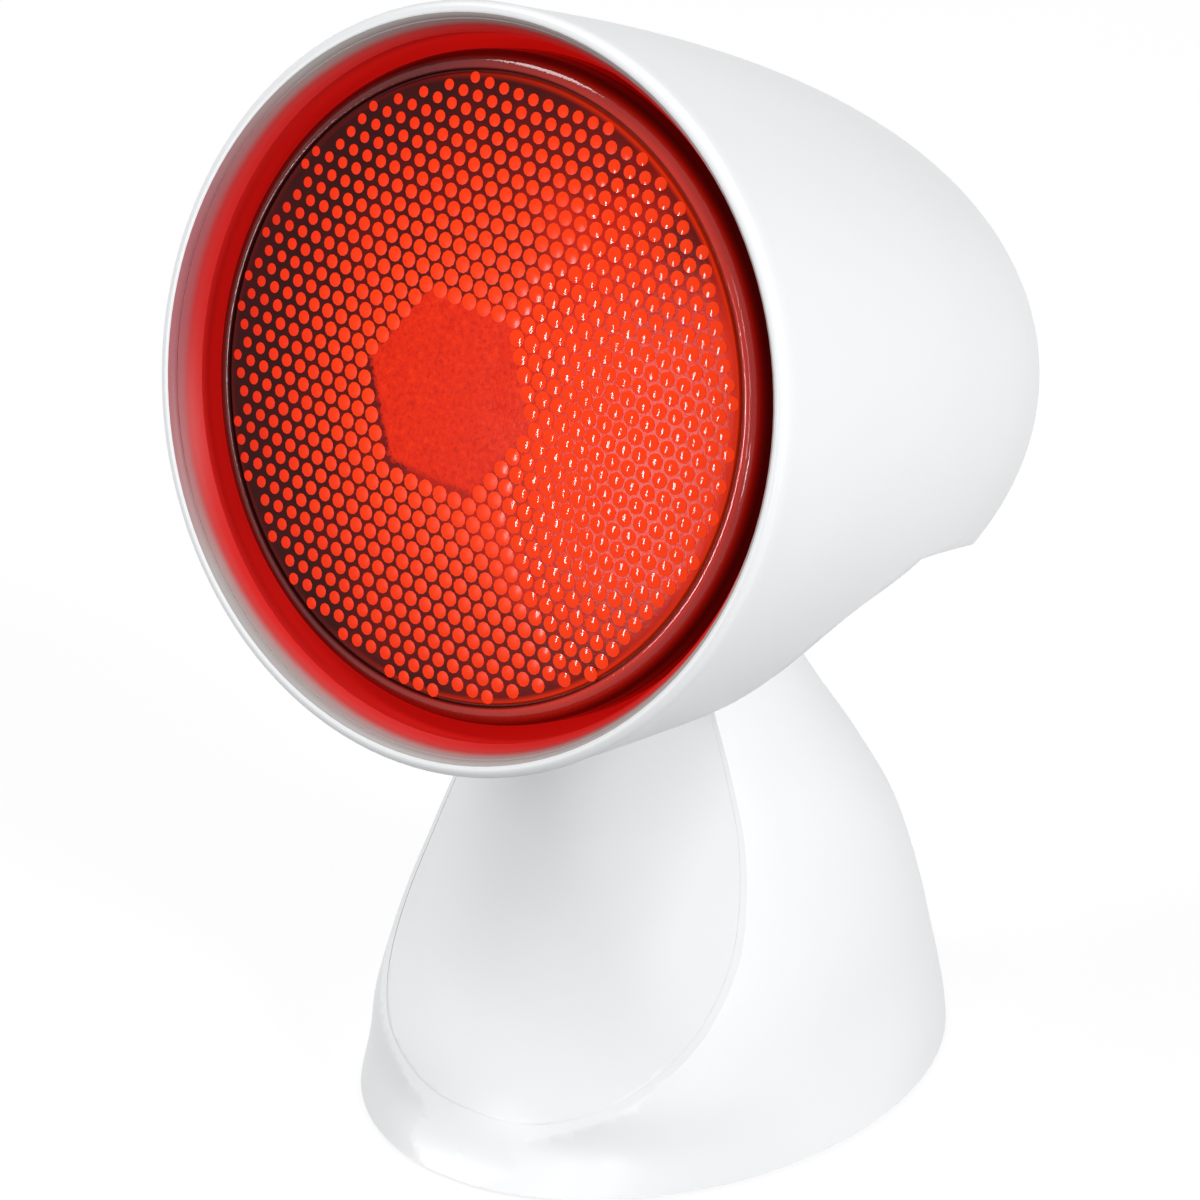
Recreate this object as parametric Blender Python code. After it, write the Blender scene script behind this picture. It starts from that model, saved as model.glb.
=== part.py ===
"""Infrared heat therapy lamp: a dome head with a pressed-glass bulb, tilting on a bell-shaped foot.

Metres, +Z up. The lamp faces -Y and is symmetric about X = 0. The foot is modelled about the centre of
its footprint, the head about its tilt axis. Head sizes run along the head's own axis: "back" is the
distance behind the rim plane, "radius" and "up" are measured from the axis.
"""
import math

import bmesh
import bpy
from mathutils import Vector

# Overall layout
STANDOFF = 0.0008              # the feet lift the foot's shell by this much
FOOT_SETBACK = 0.0079          # the footprint's centre lies this far in front of the overall centre
CLEARANCE = 0.0003             # gap between pieces that seat on each other
OVERRUN = 0.002                # how far a cutter reaches past what it cuts
FAR = 0.3                      # reach of cutters that clear everything on one side
TURN_SEGMENTS = 32
SMALL_SEGMENTS = 14
TINY_SEGMENTS = 8

# Head pose, and where the tilt axis lies in the head
HEAD_PITCH = math.radians(16.8)
AXIS_LIFT = 0.0494             # the head's axis passes this far above the tilt axis
PIVOT_BACK_SHARE = 0.56597      # the tilt axis lies this share of the bulb's length behind the rim plane

# Bulb: outer sizes, from the lens to the centre contact
BULB_RADIUS = 0.061
BULB_LENGTH = 0.1334
BULB_SET_BACK = 0.0022         # crown of the lens, behind the rim plane
LENS_CROWN = 0.003
LENS_SHOULDER = 0.004
LENS_SIDE = 0.0022             # straight side of the lens up to the seam
LENS_WALL = 0.0034
SEAL_WIDTH = 0.0036            # radial width of the fused seam
FLANGE_WALL = 0.0032
GLASS_WALL = 0.0026
APEX_GAP = 0.0025              # the parabola's apex lies this far behind the end of the glass
GLASS_TAIL = 0.0065            # the glass reaches this far into the collar
REFLECTOR_STEPS = 7
COLLAR_LENGTH = 0.0315
COLLAR_WALL = 0.001
COLLAR_WAIST_RADIUS = 0.019
CAP_LENGTH = 0.0237
CAP_RADIUS = 0.0131
CAP_WALL = 0.0008
CAP_HOLE_RADIUS = 0.0066
THREAD_PITCH = 0.0036
THREAD_DEPTH = 0.0008
THREAD_TURNS = 4
INSULATOR_HEIGHT = 0.0031
CONTACT_RADIUS = 0.0042
CONTACT_HEIGHT = 0.002

# Bulb: stem and filament
STEM_RADIUS = 0.006
STEM_LENGTH = 0.014
STEM_DISC_WALL = 0.003
POST_SPREAD = 0.005
POST_RADIUS = 0.0006
POST_LENGTH = 0.012
FILAMENT_RADIUS = 0.0004
FILAMENT_SAG = 0.0025
FILAMENT_STEPS = 10

# Places along the bulb, measured back from the rim plane
PIVOT_BACK = PIVOT_BACK_SHARE * BULB_LENGTH
LENS_EDGE_BACK = BULB_SET_BACK + LENS_CROWN
LENS_SEAM_BACK = LENS_EDGE_BACK + LENS_SHOULDER + LENS_SIDE
CONTACT_BACK = BULB_SET_BACK + BULB_LENGTH
INSULATOR_BACK = CONTACT_BACK - CONTACT_HEIGHT
CAP_BACK = INSULATOR_BACK - INSULATOR_HEIGHT
CAP_FRONT = CAP_BACK - CAP_LENGTH
COLLAR_BACK = CAP_FRONT - CLEARANCE
COLLAR_FRONT = COLLAR_BACK - COLLAR_LENGTH
GLASS_BACK = COLLAR_FRONT + GLASS_TAIL

# Lampholder
HOLDER_RADIUS = 0.018
HOLDER_FLOOR_WALL = 0.0035
HOLDER_EDGE = 0.002
SCREW_SHELL_WALL = 0.0006
THREAD_GAP = 0.0004
CONTACT_SPACE = 0.0029         # between the bulb's contact and the holder's floor
CONTACT_STRIP_WALL = 0.0006
CONTACT_STRIP_HALF_WIDTH = 0.0025
CONTACT_STRIP_REACH = 0.0085
CONTACT_STRIP_SHARES = (-1.0, -0.4, -0.1, 0.5)
BRACKET_WALL = 0.002
BRACKET_MARGIN = 0.0035        # the bracket's disc is larger than the holder by this much
BRACKET_HOLE_RADIUS = 0.006
BRACKET_SCREW_X = 0.0115
HOLDER_FRONT = CAP_FRONT
HOLDER_FLOOR_BACK = CONTACT_BACK + CONTACT_SPACE
HOLDER_BACK = HOLDER_FLOOR_BACK + HOLDER_FLOOR_WALL
BRACKET_BACK = HOLDER_BACK + CLEARANCE + BRACKET_WALL

# Shade shell: outer curve as one cubic Bezier of (back, radius)
RIM_GAP = 0.0056               # between the bulb and the rim's lip
LIP_WIDTH = 0.0032
LIP_STEPS = 4
REAR_ROUND_SHARE = 5.4905      # a slimmer dome is longer behind the bracket
SHADE_WALL = 0.0025
SHADE_BACK_SHARES = (0.0, 0.3595, 1.0, 1.0)
SHADE_RADIUS_SHARES = (1.0, 0.9205, 0.7474, 0.0)
SHADE_DROP = 0.0034            # the rear end hangs this far below the axis
SHADE_RINGS = 10
SHADE_FIRST_RING_SHARE = 0.3
SHADE_SEGMENTS = 40
RIM_RADIUS = BULB_RADIUS + RIM_GAP + LIP_WIDTH
REAR_SPACE = REAR_ROUND_SHARE * (HOLDER_RADIUS + BRACKET_MARGIN) ** 3 / RIM_RADIUS ** 2
SHADE_LENGTH = BRACKET_BACK + REAR_SPACE + SHADE_WALL

# Bite in the shade's underside, about the tilt axis: a curve in front, a falling edge behind
BITE_REACH = 0.0333            # from the tilt axis forward
BITE_RISE = 0.028              # from the tilt axis up
BITE_BACK_SHARES = (-1.0, -1.0, -0.5255, -0.033)
BITE_UP_SHARES = (-0.45, 0.8357, 0.675, 1.0)
BITE_FALL_RUN = 0.0356         # over this length behind its corner the edge falls by BITE_FALL
BITE_FALL = 0.003
BITE_STEPS = 9

# Rear vents
VENT_COUNT = 5
VENT_PITCH = 0.0075
VENT_HALF_HEIGHT = 0.0014
VENT_CIRCLE_RADIUS = 0.024     # the slots end on this circle
VENT_END_STEPS = 6

# Underside cover and the lugs that it is screwed to
COVER_WALL = 0.002
LUG_BEHIND_PIVOT = 0.0245
LUG_HALF_LENGTH = 0.0035
LUG_WIDTH = 0.009
LUG_HEIGHT = 0.010
LUG_SCREW_LENGTH = 0.0056

# Shade liner, an inner heat shield: from its front to its end the radius follows these shares
LINER_WALL = 0.0012
LINER_FRONT_GAP = 0.0014       # the liner starts this far inside the rim's lip
LINER_FLANGE_BACK = 0.0044
LINER_FLANGE_WALL = 0.0012
LINER_END_MARGIN = 0.0005
LINER_BACK_SHARES = (0.0, 0.103, 0.206, 0.279, 0.353, 0.4265, 0.5, 0.588, 0.691, 0.875, 1.0)
LINER_RADIUS_SHARES = (1.0, 0.956, 0.854, 0.728, 0.570, 0.400, 0.243, 0.121, 0.073, 0.036, 0.0)

# Screws used in several places
SCREW_RADIUS = 0.0014
SCREW_HEAD_RADIUS = 0.0029
SCREW_HEAD_HEIGHT = 0.0018
SCREW_LENGTH = 0.008

# Foot: bell sections, as shares of its height, half width and half length
NECK_Z = 0.086
FOOT_HALF_WIDTH = 0.0512
FOOT_HALF_LENGTH = 0.0644
BELL_HEIGHT_SHARES = (0.0, 0.093, 0.209, 0.349, 0.523, 0.698, 0.860, 1.0)
BELL_WIDTH_SHARES = (1.0, 0.959, 0.914, 0.871, 0.795, 0.6875, 0.539, 0.3926)
BELL_FRONT_SHARES = (1.0, 0.894, 0.860, 0.800, 0.724, 0.655, 0.5885, 0.526)
BELL_REAR_SHARES = (1.0, 0.918, 0.868, 0.832, 0.778, 0.661, 0.537, 0.446)
BELL_CORNER_SHARES = (1.0, 0.87, 0.816, 0.833, 0.87, 0.909, 0.952, 0.976)
BELL_RING_SHARES = (0.0, 0.045, 0.093, 0.209, 0.349, 0.523, 0.65, 0.77, 0.88, 1.0)
BELL_WALL = 0.0025
BELL_SEGMENTS = 40

# Front panel: where its middle line lies and how strongly it bows, by height
PANEL_HEIGHT_SHARES = (-0.05, 0.0465, 0.186, 0.349, 0.523, 0.698, 0.860, 1.1)
PANEL_FRONT_SHARES = (1.085, 0.9286, 0.8245, 0.6755, 0.534, 0.4006, 0.284, 0.120)
PANEL_BOW_SHARES = (0.23, 0.23, 0.2816, 0.394, 0.466, 0.440, 0.394, 0.200)
PANEL_WALL = 0.0025
PANEL_EDGE = 0.0008            # width of the shell's edge that shows around the panel
PANEL_FOOT_Z = 0.0033
PANEL_COLUMNS = 14
PANEL_ROWS = 14

# Tilt hinge
PIVOT_RISE = 0.004             # the tilt axis lies this far above the neck's top
PIVOT_Z = NECK_Z + PIVOT_RISE
BARREL_RADIUS = 0.009
WASHER_WALL = 0.0007
WASHER_RADIUS = 0.0075
CHEEK_WALL = 0.004
CHEEK_RADIUS = 0.008
CHEEK_MARGIN = 0.0017          # between the cheeks and the neck's wall
BOLT_RADIUS = 0.004
BOLT_HEAD_RADIUS = 0.006
BOLT_HEAD_WALL = 0.0022
BOLT_TIP_X = 0.005
ARM_HALF_DEPTH = 0.0075
SADDLE_BACK = 0.017            # end of the knuckle's rear flange, behind the tilt axis
SADDLE_WALL = 0.0045
SADDLE_SCREW_X = 0.0065
SADDLE_SCREW_BACK = 0.0125
SADDLE_SCREW_LENGTH = 0.0065
SLOT_HALF_WIDTH = 0.0036       # passage of the leads through the knuckle
SLOT_HALF_DEPTH = 0.003
SLOT_FRONT = 0.0036
SLOT_BACK = 0.0095
DETENT_COUNT = 5
DETENT_STEP = math.radians(10)
DETENT_GROOVE_RADIUS = 0.0007
DETENT_WALL = 0.0006
DETENT_HALF_LENGTH = 0.0062
DETENT_SHARES = (1.0, 0.7, 0.15)
HINGE_SEGMENTS = 20
CHEEK_OUTER_X = FOOT_HALF_WIDTH * BELL_WIDTH_SHARES[-1] - BELL_WALL - CHEEK_MARGIN
CHEEK_INNER_X = CHEEK_OUTER_X - CHEEK_WALL
BARREL_HALF = CHEEK_INNER_X - WASHER_WALL - CLEARANCE * 2

# Fork in the neck
FORK_DEPTH = 0.0167            # from the neck's top down to the fork's foot
FORK_FLANGE_WALL = 0.0025
FORK_FLANGE_ROUND = 0.0014
FORK_FLANGE_RISE_SHARES = (0.0, 0.44, 0.83, 1.0)
FORK_FLANGE_INSET_SHARES = (0.0, 0.1, 0.4, 1.0)
FORK_SLOT_HALF_DEPTH = 0.0133
FORK_WEB_WALL = 0.0077
FORK_SCREW_X = 0.010
SHELF_WALL = 0.003
LEAD_HOLE_RADIUS = 0.0036
FORK_FOOT_Z = NECK_Z - FORK_DEPTH

# Bottom cover, weight, feet and their screws
PLATE_Z = 0.0003
PLATE_WALL = 0.0025
PLATE_TOP_Z = PLATE_Z + PLATE_WALL
POST_RADIUS_OUTER = 0.0042
POST_TOP_SHARE = 0.58
POST_PLACE_SHARES = ((0.75, -0.22), (0.72, 0.25))
PAD_RADIUS = 0.006
PAD_RECESS = 0.001
PAD_FOOT_SHARE = 0.9
PAD_PLACE_SHARES = (0.6, 0.5)
WEIGHT_WIDTH_SHARE = 0.586
WEIGHT_LENGTH_SHARE = 0.528
WEIGHT_SCREW_SHARE = -0.3
WEIGHT_WALL = 0.008
WEIGHT_TOP_Z = PLATE_TOP_Z + CLEARANCE + WEIGHT_WALL

# Rear pocket with switch and gland
POCKET_FLOOR_SHARE = 0.76864
POCKET_WALL = 0.0025
POCKET_SIDE_MARGIN = 0.0045
POCKET_END_MARGIN = 0.0015
GLAND_RADIUS = 0.005
GLAND_FLANGE_RADIUS = 0.0062
GLAND_FLANGE_WALL = 0.002
GLAND_NOSE_RADIUS = 0.0046
GLAND_NOSE_TIP_SHARE = 0.88
GLAND_NOSE_LENGTH = 0.0055
GLAND_TAIL = 0.0085
GLAND_BORE_RADIUS = 0.0034
NUT_RADIUS = 0.0074
NUT_WALL = 0.003
NUT_LIFT = 0.002               # the nut clears the bottom cover by this much
BEZEL_HALF_WIDTH = 0.0075
BEZEL_HALF_HEIGHT = 0.0105
BEZEL_WALL = 0.0016
BEZEL_LEDGE = 0.0013           # the bezel covers the hole's edge by this much
SWITCH_LIFT = 0.0041           # between gland and bezel
SWITCH_DEPTH = 0.0135
SWITCH_SIDE_WALL = 0.0008
MOUTH_DEPTH = 0.0065
ROCKER_INSET = 0.0005          # the rocker's axis lies this far inside the pocket's floor
ROCKER_PLAY = 0.0004
ROCKER_END_PLAY = 0.001
ROCKER_FOOT_SHARE = 0.8
ROCKER_DEPTH = 0.0035
ROCKER_CREST = 0.0022
ROCKER_TILT = math.radians(10)
TERMINAL_HALF_WIDTH = 0.0024
TERMINAL_HALF_WALL = 0.0004
TERMINAL_LENGTH = 0.007
TERMINAL_SPREAD = 0.0045
POCKET_FLOOR_Y = FOOT_HALF_LENGTH * POCKET_FLOOR_SHARE
POCKET_HALF_WIDTH = BEZEL_HALF_WIDTH + POCKET_SIDE_MARGIN
GLAND_Z = PLATE_TOP_Z + NUT_LIFT + NUT_RADIUS
SWITCH_Z = GLAND_Z + GLAND_FLANGE_RADIUS + SWITCH_LIFT + BEZEL_HALF_HEIGHT
POCKET_BOTTOM_Z = GLAND_Z - GLAND_FLANGE_RADIUS - POCKET_END_MARGIN / 2
POCKET_TOP_Z = SWITCH_Z + BEZEL_HALF_HEIGHT + POCKET_END_MARGIN
SWITCH_HALF_WIDTH = BEZEL_HALF_WIDTH - BEZEL_LEDGE
SWITCH_HALF_HEIGHT = BEZEL_HALF_HEIGHT - BEZEL_LEDGE
MOUTH_HALF_WIDTH = SWITCH_HALF_WIDTH - SWITCH_SIDE_WALL
MOUTH_HALF_HEIGHT = SWITCH_HALF_HEIGHT - SWITCH_SIDE_WALL

# Terminal block and leads
BLOCK_Y = 0.016
BLOCK_HALF_WIDTH = 0.009
BLOCK_HALF_LENGTH = 0.006
BLOCK_HEIGHT = 0.0075
BLOCK_SCREW_X = 0.0042
BLOCK_SCREW_DEPTH_SHARE = 0.55
LEAD_RADIUS = 0.0012
LEAD_SPREAD = 0.0018
LEAD_END_GAP = 0.0009          # the leads of foot and head end this far from the tilt axis
LEAD_STEPS = 3
LEAD_FLOOR_STEPS = 4

# Finishes: colour, roughness, metallic
WHITE_PLASTIC = ((0.86, 0.87, 0.88), 0.35, 0.0)
GREY_PLASTIC = ((0.62, 0.64, 0.66), 0.5, 0.0)
BLACK_PLASTIC = ((0.03, 0.03, 0.03), 0.5, 0.0)
RUBBER = ((0.08, 0.08, 0.08), 0.85, 0.0)
STEEL = ((0.55, 0.56, 0.58), 0.35, 1.0)
BRASS = ((0.70, 0.52, 0.22), 0.35, 1.0)
ALUMINIUM = ((0.75, 0.76, 0.78), 0.4, 1.0)
CERAMIC = ((0.88, 0.86, 0.80), 0.3, 0.0)
RED_GLASS = ((0.75, 0.10, 0.02), 0.08, 0.0)
DARK_GLASS = ((0.05, 0.04, 0.05), 0.1, 0.0)
CLEAR_GLASS = ((0.80, 0.82, 0.82), 0.08, 0.0)
TUNGSTEN = ((0.30, 0.30, 0.32), 0.45, 1.0)
LEAD_SHEATH = ((0.75, 0.74, 0.70), 0.6, 0.0)
SMOOTH_BELOW = math.radians(35)

SIDES = (("left", -1), ("right", 1))


# Reading curves and tables

def bezier(corners, share):
    """Point of a cubic Bezier at a share of its run."""
    rest = 1 - share
    weights = (rest ** 3, 3 * rest ** 2 * share, 3 * rest * share ** 2, share ** 3)
    return tuple(sum(weight * corner[axis] for weight, corner in zip(weights, corners)) for axis in range(2))


def read_line(place, points):
    """Height of a chain of straight lines through (place, height) points."""
    index = 0
    while index < len(points) - 2 and place > points[index + 1][0]:
        index += 1
    (start, low), (end, high) = points[index], points[index + 1]
    return low + (high - low) * (place - start) / (end - start)


def read_table(place, places, values):
    """Smooth curve through a table, without overshoot between its entries."""
    steps = [b - a for a, b in zip(places, places[1:])]
    slopes = [(b - a) / step for a, b, step in zip(values, values[1:], steps)]
    bends = [slopes[0]]
    for before, after in zip(slopes, slopes[1:]):
        bends.append(0 if before * after <= 0 else 2 * before * after / (before + after))
    bends.append(slopes[-1])
    index = 0
    while index < len(steps) - 1 and place > places[index + 1]:
        index += 1
    t = (place - places[index]) / steps[index]
    rise_low, rise_high = bends[index] * steps[index], bends[index + 1] * steps[index]
    return (values[index] * (2 * t ** 3 - 3 * t ** 2 + 1) + rise_low * (t ** 3 - 2 * t ** 2 + t)
            + values[index + 1] * (3 * t ** 2 - 2 * t ** 3) + rise_high * (t ** 3 - t ** 2))


def shade_outline(inset=0.0):
    """Outer curve of the shade as (back, radius) from rim to pole, moved in by an inset."""
    corners = [(share * (SHADE_LENGTH - inset), radius_share * RIM_RADIUS - inset)
               for share, radius_share in zip(SHADE_BACK_SHARES, SHADE_RADIUS_SHARES)]
    corners[-1] = (corners[-1][0], 0.0)
    steps = (0, SHADE_FIRST_RING_SHARE, *range(1, SHADE_RINGS))
    return [bezier(corners, 1 - (1 - step / (SHADE_RINGS - 1)) ** 1.25) for step in steps]


def shade_drop(back):
    """How far the shade's section hangs below the head's axis."""
    return SHADE_DROP * (back / SHADE_LENGTH) ** 2


def shade_reach(back, up):
    """Half width of the shade's inside at one place."""
    radius = read_line(back, shade_outline(SHADE_WALL))
    return math.sqrt(radius ** 2 - (up + shade_drop(back)) ** 2)


def bite_fall(run):
    """How far the bite's rear edge has fallen after a run behind its corner."""
    return BITE_FALL * (run / BITE_FALL_RUN) ** 2


def bite_edge():
    """Edge of the bite as (y, z) about the tilt axis, from the shade's bottom to its rear."""
    corners = [(back * BITE_REACH, up * BITE_RISE) for back, up in zip(BITE_BACK_SHARES, BITE_UP_SHARES)]
    points = [bezier(corners, step / BITE_STEPS) for step in range(BITE_STEPS + 1)]
    corner_y, corner_z = points[-1]
    rear_run = SHADE_LENGTH + OVERRUN - PIVOT_BACK - corner_y
    for step in range(1, BITE_STEPS + 1):
        run = rear_run * step / BITE_STEPS
        points.append((corner_y + run, corner_z - bite_fall(run)))
    return points


def liner_outline(inset=0.0):
    """Liner as (back, radius) from its front to its end, moved in by an inset."""
    front, front_radius = LINER_FLANGE_BACK + LINER_FLANGE_WALL, RIM_RADIUS - LIP_WIDTH - LINER_FRONT_GAP
    end_radius = HOLDER_RADIUS + BRACKET_MARGIN + LINER_END_MARGIN
    return [(front + (HOLDER_BACK - front) * share, end_radius + (front_radius - end_radius) * radius_share - inset)
            for share, radius_share in zip(LINER_BACK_SHARES, LINER_RADIUS_SHARES)]


def liner_floor_z(y, x=0.0, inset=0.0):
    """Height of the liner's lowest run above the tilt axis."""
    radius = read_line(PIVOT_BACK + y, liner_outline(inset))
    return AXIS_LIFT - math.sqrt(radius ** 2 - x ** 2)


def bell_section(z, inset=0.0):
    """Ring of the foot's bell at one height, moved in by an inset."""
    share = z / NECK_Z
    half_width = FOOT_HALF_WIDTH * read_table(share, BELL_HEIGHT_SHARES, BELL_WIDTH_SHARES)
    front = -FOOT_HALF_LENGTH * read_table(share, BELL_HEIGHT_SHARES, BELL_FRONT_SHARES)
    rear = FOOT_HALF_LENGTH * read_table(share, BELL_HEIGHT_SHARES, BELL_REAR_SHARES)
    power = read_table(share, BELL_HEIGHT_SHARES, BELL_CORNER_SHARES)
    middle = (front + rear) / 2
    half_length = (rear - front) / 2
    ring = []
    for step in range(BELL_SEGMENTS):
        angle = math.tau * step / BELL_SEGMENTS
        across = math.copysign(abs(math.cos(angle)) ** power, math.cos(angle))
        along = math.copysign(abs(math.sin(angle)) ** power, math.sin(angle))
        ring.append((across * (half_width - inset), middle + along * (half_length - inset), z))
    return ring


def panel_y(x, z):
    """Front surface of the panel."""
    share = z / NECK_Z
    front = FOOT_HALF_LENGTH * read_table(share, PANEL_HEIGHT_SHARES, PANEL_FRONT_SHARES)
    bow = read_table(share, PANEL_HEIGHT_SHARES, PANEL_BOW_SHARES)
    return bow * x * x / FOOT_HALF_WIDTH - front


def reflector_radius(back):
    """Inner radius of the parabolic glass."""
    apex = GLASS_BACK + APEX_GAP
    return (BULB_RADIUS - SEAL_WIDTH) * math.sqrt((apex - back) / (apex - LENS_SEAM_BACK))


# Making meshes

def piece_from_mesh(name, bm):
    """Object from a finished bmesh, with its faces turned outwards."""
    bmesh.ops.recalc_face_normals(bm, faces=bm.faces)
    mesh = bpy.data.meshes.new(name)
    bm.to_mesh(mesh)
    bm.free()
    piece = bpy.data.objects.new(name, mesh)
    bpy.context.scene.collection.objects.link(piece)
    return piece


def solid_from_rings(name, rings, looped=False):
    """Closed solid through rings of points; a ring of one point is a pole."""
    bm = bmesh.new()
    rows = [[bm.verts.new(point) for point in ring] for ring in rings]
    pairs = list(zip(rows, rows[1:]))
    if looped:
        pairs.append((rows[-1], rows[0]))
    for low, high in pairs:
        count = max(len(low), len(high))
        for step in range(count):
            after = (step + 1) % count
            corners = [low[step % len(low)], low[after % len(low)], high[after % len(high)], high[step % len(high)]]
            bm.faces.new(list(dict.fromkeys(corners)))
    if not looped:
        for row in (rows[0], rows[-1]):
            if len(row) > 2:
                bm.faces.new(row)
    return piece_from_mesh(name, bm)


def head_point(x, back, up):
    """Point of the head's frame, whose origin is on the tilt axis."""
    return (x, back - PIVOT_BACK, up + AXIS_LIFT)


def turned(name, profile, segments=TURN_SEGMENTS, looped=True, drop=None):
    """Solid turned about the head's axis from (back, radius) points."""
    rings = []
    for back, radius in profile:
        shift = drop(back) if drop else 0.0
        count = 1 if radius == 0 else segments
        rings.append([head_point(radius * math.cos(math.tau * step / segments), back,
                                 radius * math.sin(math.tau * step / segments) - shift)
                      for step in range(count)])
    return solid_from_rings(name, rings, looped)


def extruded(name, outline, half_width, middle=0.0):
    """Prism along X from an outline of (y, z) points."""
    rings = [[(x, y, z) for y, z in outline] for x in (middle - half_width, middle + half_width)]
    return solid_from_rings(name, rings)


def box(name, low, high):
    """Box between two corners."""
    ring = [(low[0], low[1]), (high[0], low[1]), (high[0], high[1]), (low[0], high[1])]
    return solid_from_rings(name, [[(x, y, z) for x, y in ring] for z in (low[2], high[2])])


def stepped_rod(name, start, direction, steps, segments=SMALL_SEGMENTS):
    """Round bar whose (distance, radius) steps follow a direction."""
    start, direction = Vector(start), Vector(direction).normalized()
    turn = direction.to_track_quat("Z", "Y").to_matrix()
    rings = []
    for distance, radius in steps:
        rings.append([start + direction * distance
                      + turn @ Vector((radius * math.cos(math.tau * step / segments),
                                       radius * math.sin(math.tau * step / segments), 0))
                      for step in range(segments)])
    return solid_from_rings(name, rings)


def rod(name, start, end, radius, segments=SMALL_SEGMENTS):
    """Straight round bar between two points."""
    run = Vector(end) - Vector(start)
    return stepped_rod(name, start, run, ((0.0, radius), (run.length, radius)), segments)


def apply_boolean(target, tool, operation):
    """One Boolean on a piece; the second piece is used up."""
    modifier = target.modifiers.new("shape", "BOOLEAN")
    modifier.operation = operation
    modifier.solver = "EXACT"
    modifier.object = tool
    bpy.context.view_layer.objects.active = target
    bpy.ops.object.modifier_apply(modifier=modifier.name)
    bpy.data.objects.remove(tool, do_unlink=True)
    return target


def cut(target, *tools):
    """Take other solids away from a piece."""
    for tool in tools:
        apply_boolean(target, tool, "DIFFERENCE")
    return target


def fuse(target, *others):
    """Join overlapping solids to one body."""
    for other in others:
        apply_boolean(target, other, "UNION")
    return target


def keep_inside(target, other):
    """Keep what two solids share."""
    return apply_boolean(target, other, "INTERSECT")


def finish(piece, look):
    """Give a piece its own material and smooth its round faces."""
    colour, roughness, metallic = look
    material = bpy.data.materials.new(piece.name)
    material.use_nodes = True
    shader = material.node_tree.nodes["Principled BSDF"]
    shader.inputs["Base Color"].default_value = (*colour, 1.0)
    shader.inputs["Roughness"].default_value = roughness
    shader.inputs["Metallic"].default_value = metallic
    piece.data.materials.clear()
    piece.data.materials.append(material)
    if piece.type == "MESH":
        piece.data.shade_smooth()
        piece.data.set_sharp_from_angle(angle=SMOOTH_BELOW)
    return piece


def screw(name, seat, direction, length=SCREW_LENGTH, look=STEEL):
    """Pan-head screw whose head lies on a seat, its shank along a direction."""
    steps = ((-SCREW_HEAD_HEIGHT, SCREW_HEAD_RADIUS * 0.7), (-SCREW_HEAD_HEIGHT * 0.55, SCREW_HEAD_RADIUS),
             (0.0, SCREW_HEAD_RADIUS), (0.0, SCREW_RADIUS), (length, SCREW_RADIUS))
    return finish(stepped_rod(name, seat, direction, steps, TINY_SEGMENTS), look)


def screw_hole(seat, direction, length=SCREW_LENGTH):
    """Cutter for a screw's shank."""
    seat, direction = Vector(seat), Vector(direction).normalized()
    return rod("hole", seat - direction * OVERRUN, seat + direction * (length + CLEARANCE),
               SCREW_RADIUS + CLEARANCE, TINY_SEGMENTS)


def lead(name, places):
    """Insulated lead: a round tube with capped ends along a smooth curve through its places."""
    places = [Vector(place) for place in places]
    padded = [places[0] * 2 - places[1], *places, places[-1] * 2 - places[-2]]
    route = []
    for before, start, end, after in zip(padded, padded[1:], padded[2:], padded[3:]):
        for step in range(LEAD_STEPS):
            t = step / LEAD_STEPS
            route.append(0.5 * (2 * start + (end - before) * t
                                + (2 * before - 5 * start + 4 * end - after) * t ** 2
                                + (3 * start - before - 3 * end + after) * t ** 3))
    route.append(places[-1])
    return finish(wire(name, route, LEAD_RADIUS, 2), LEAD_SHEATH)


def wire(name, route, radius, resolution):
    """Round wire with capped ends through the points of a route."""
    curve = bpy.data.curves.new(name, "CURVE")
    curve.dimensions = "3D"
    curve.bevel_depth = radius
    curve.bevel_resolution = resolution
    curve.use_fill_caps = True
    spline = curve.splines.new("POLY")
    spline.points.add(len(route) - 1)
    for point, place in zip(spline.points, route):
        point.co = (*place, 1.0)
    piece = bpy.data.objects.new(name, curve)
    bpy.context.scene.collection.objects.link(piece)
    return piece


# The foot

def bell(name, inset=0.0, low=0.0, high=NECK_Z):
    """Solid bell of the foot between two heights, moved in by an inset."""
    heights = [NECK_Z * share for share in BELL_RING_SHARES if low < NECK_Z * share < high]
    rings = [bell_section(z, inset) for z in heights]
    bottom = bell_section(max(low, 0.0), inset)
    top = bell_section(min(high, NECK_Z), inset)
    rings.insert(0, [(x, y, low) for x, y, _ in bottom])
    rings.append([(x, y, high) for x, y, _ in top])
    return solid_from_rings(name, rings)


def panel_block(name, front_offset, back_offset, low=-OVERRUN):
    """Block between two sheets that follow the panel's surface; no front offset means far out."""
    bm = bmesh.new()
    half_width = FOOT_HALF_WIDTH + OVERRUN
    high = PIVOT_Z + OVERRUN
    sheets = []
    for offset in (front_offset, back_offset):
        sheet = []
        for row in range(PANEL_ROWS + 1):
            z = low + (high - low) * row / PANEL_ROWS
            line = []
            for column in range(PANEL_COLUMNS + 1):
                x = half_width * (2 * column / PANEL_COLUMNS - 1)
                y = -FAR if offset is None else panel_y(x, z) + offset
                line.append(bm.verts.new((x, y, z)))
            sheet.append(line)
        sheets.append(sheet)
    front, back = sheets
    strips = [(lower, upper) for sheet in sheets for lower, upper in zip(sheet, sheet[1:])]
    strips += [(front[0], back[0]), (front[-1], back[-1]),
               ([line[0] for line in front], [line[0] for line in back]),
               ([line[-1] for line in front], [line[-1] for line in back])]
    for near, far in strips:
        for a, b, c, d in zip(near, near[1:], far[1:], far):
            bm.faces.new((a, b, c, d))
    return piece_from_mesh(name, bm)


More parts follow.
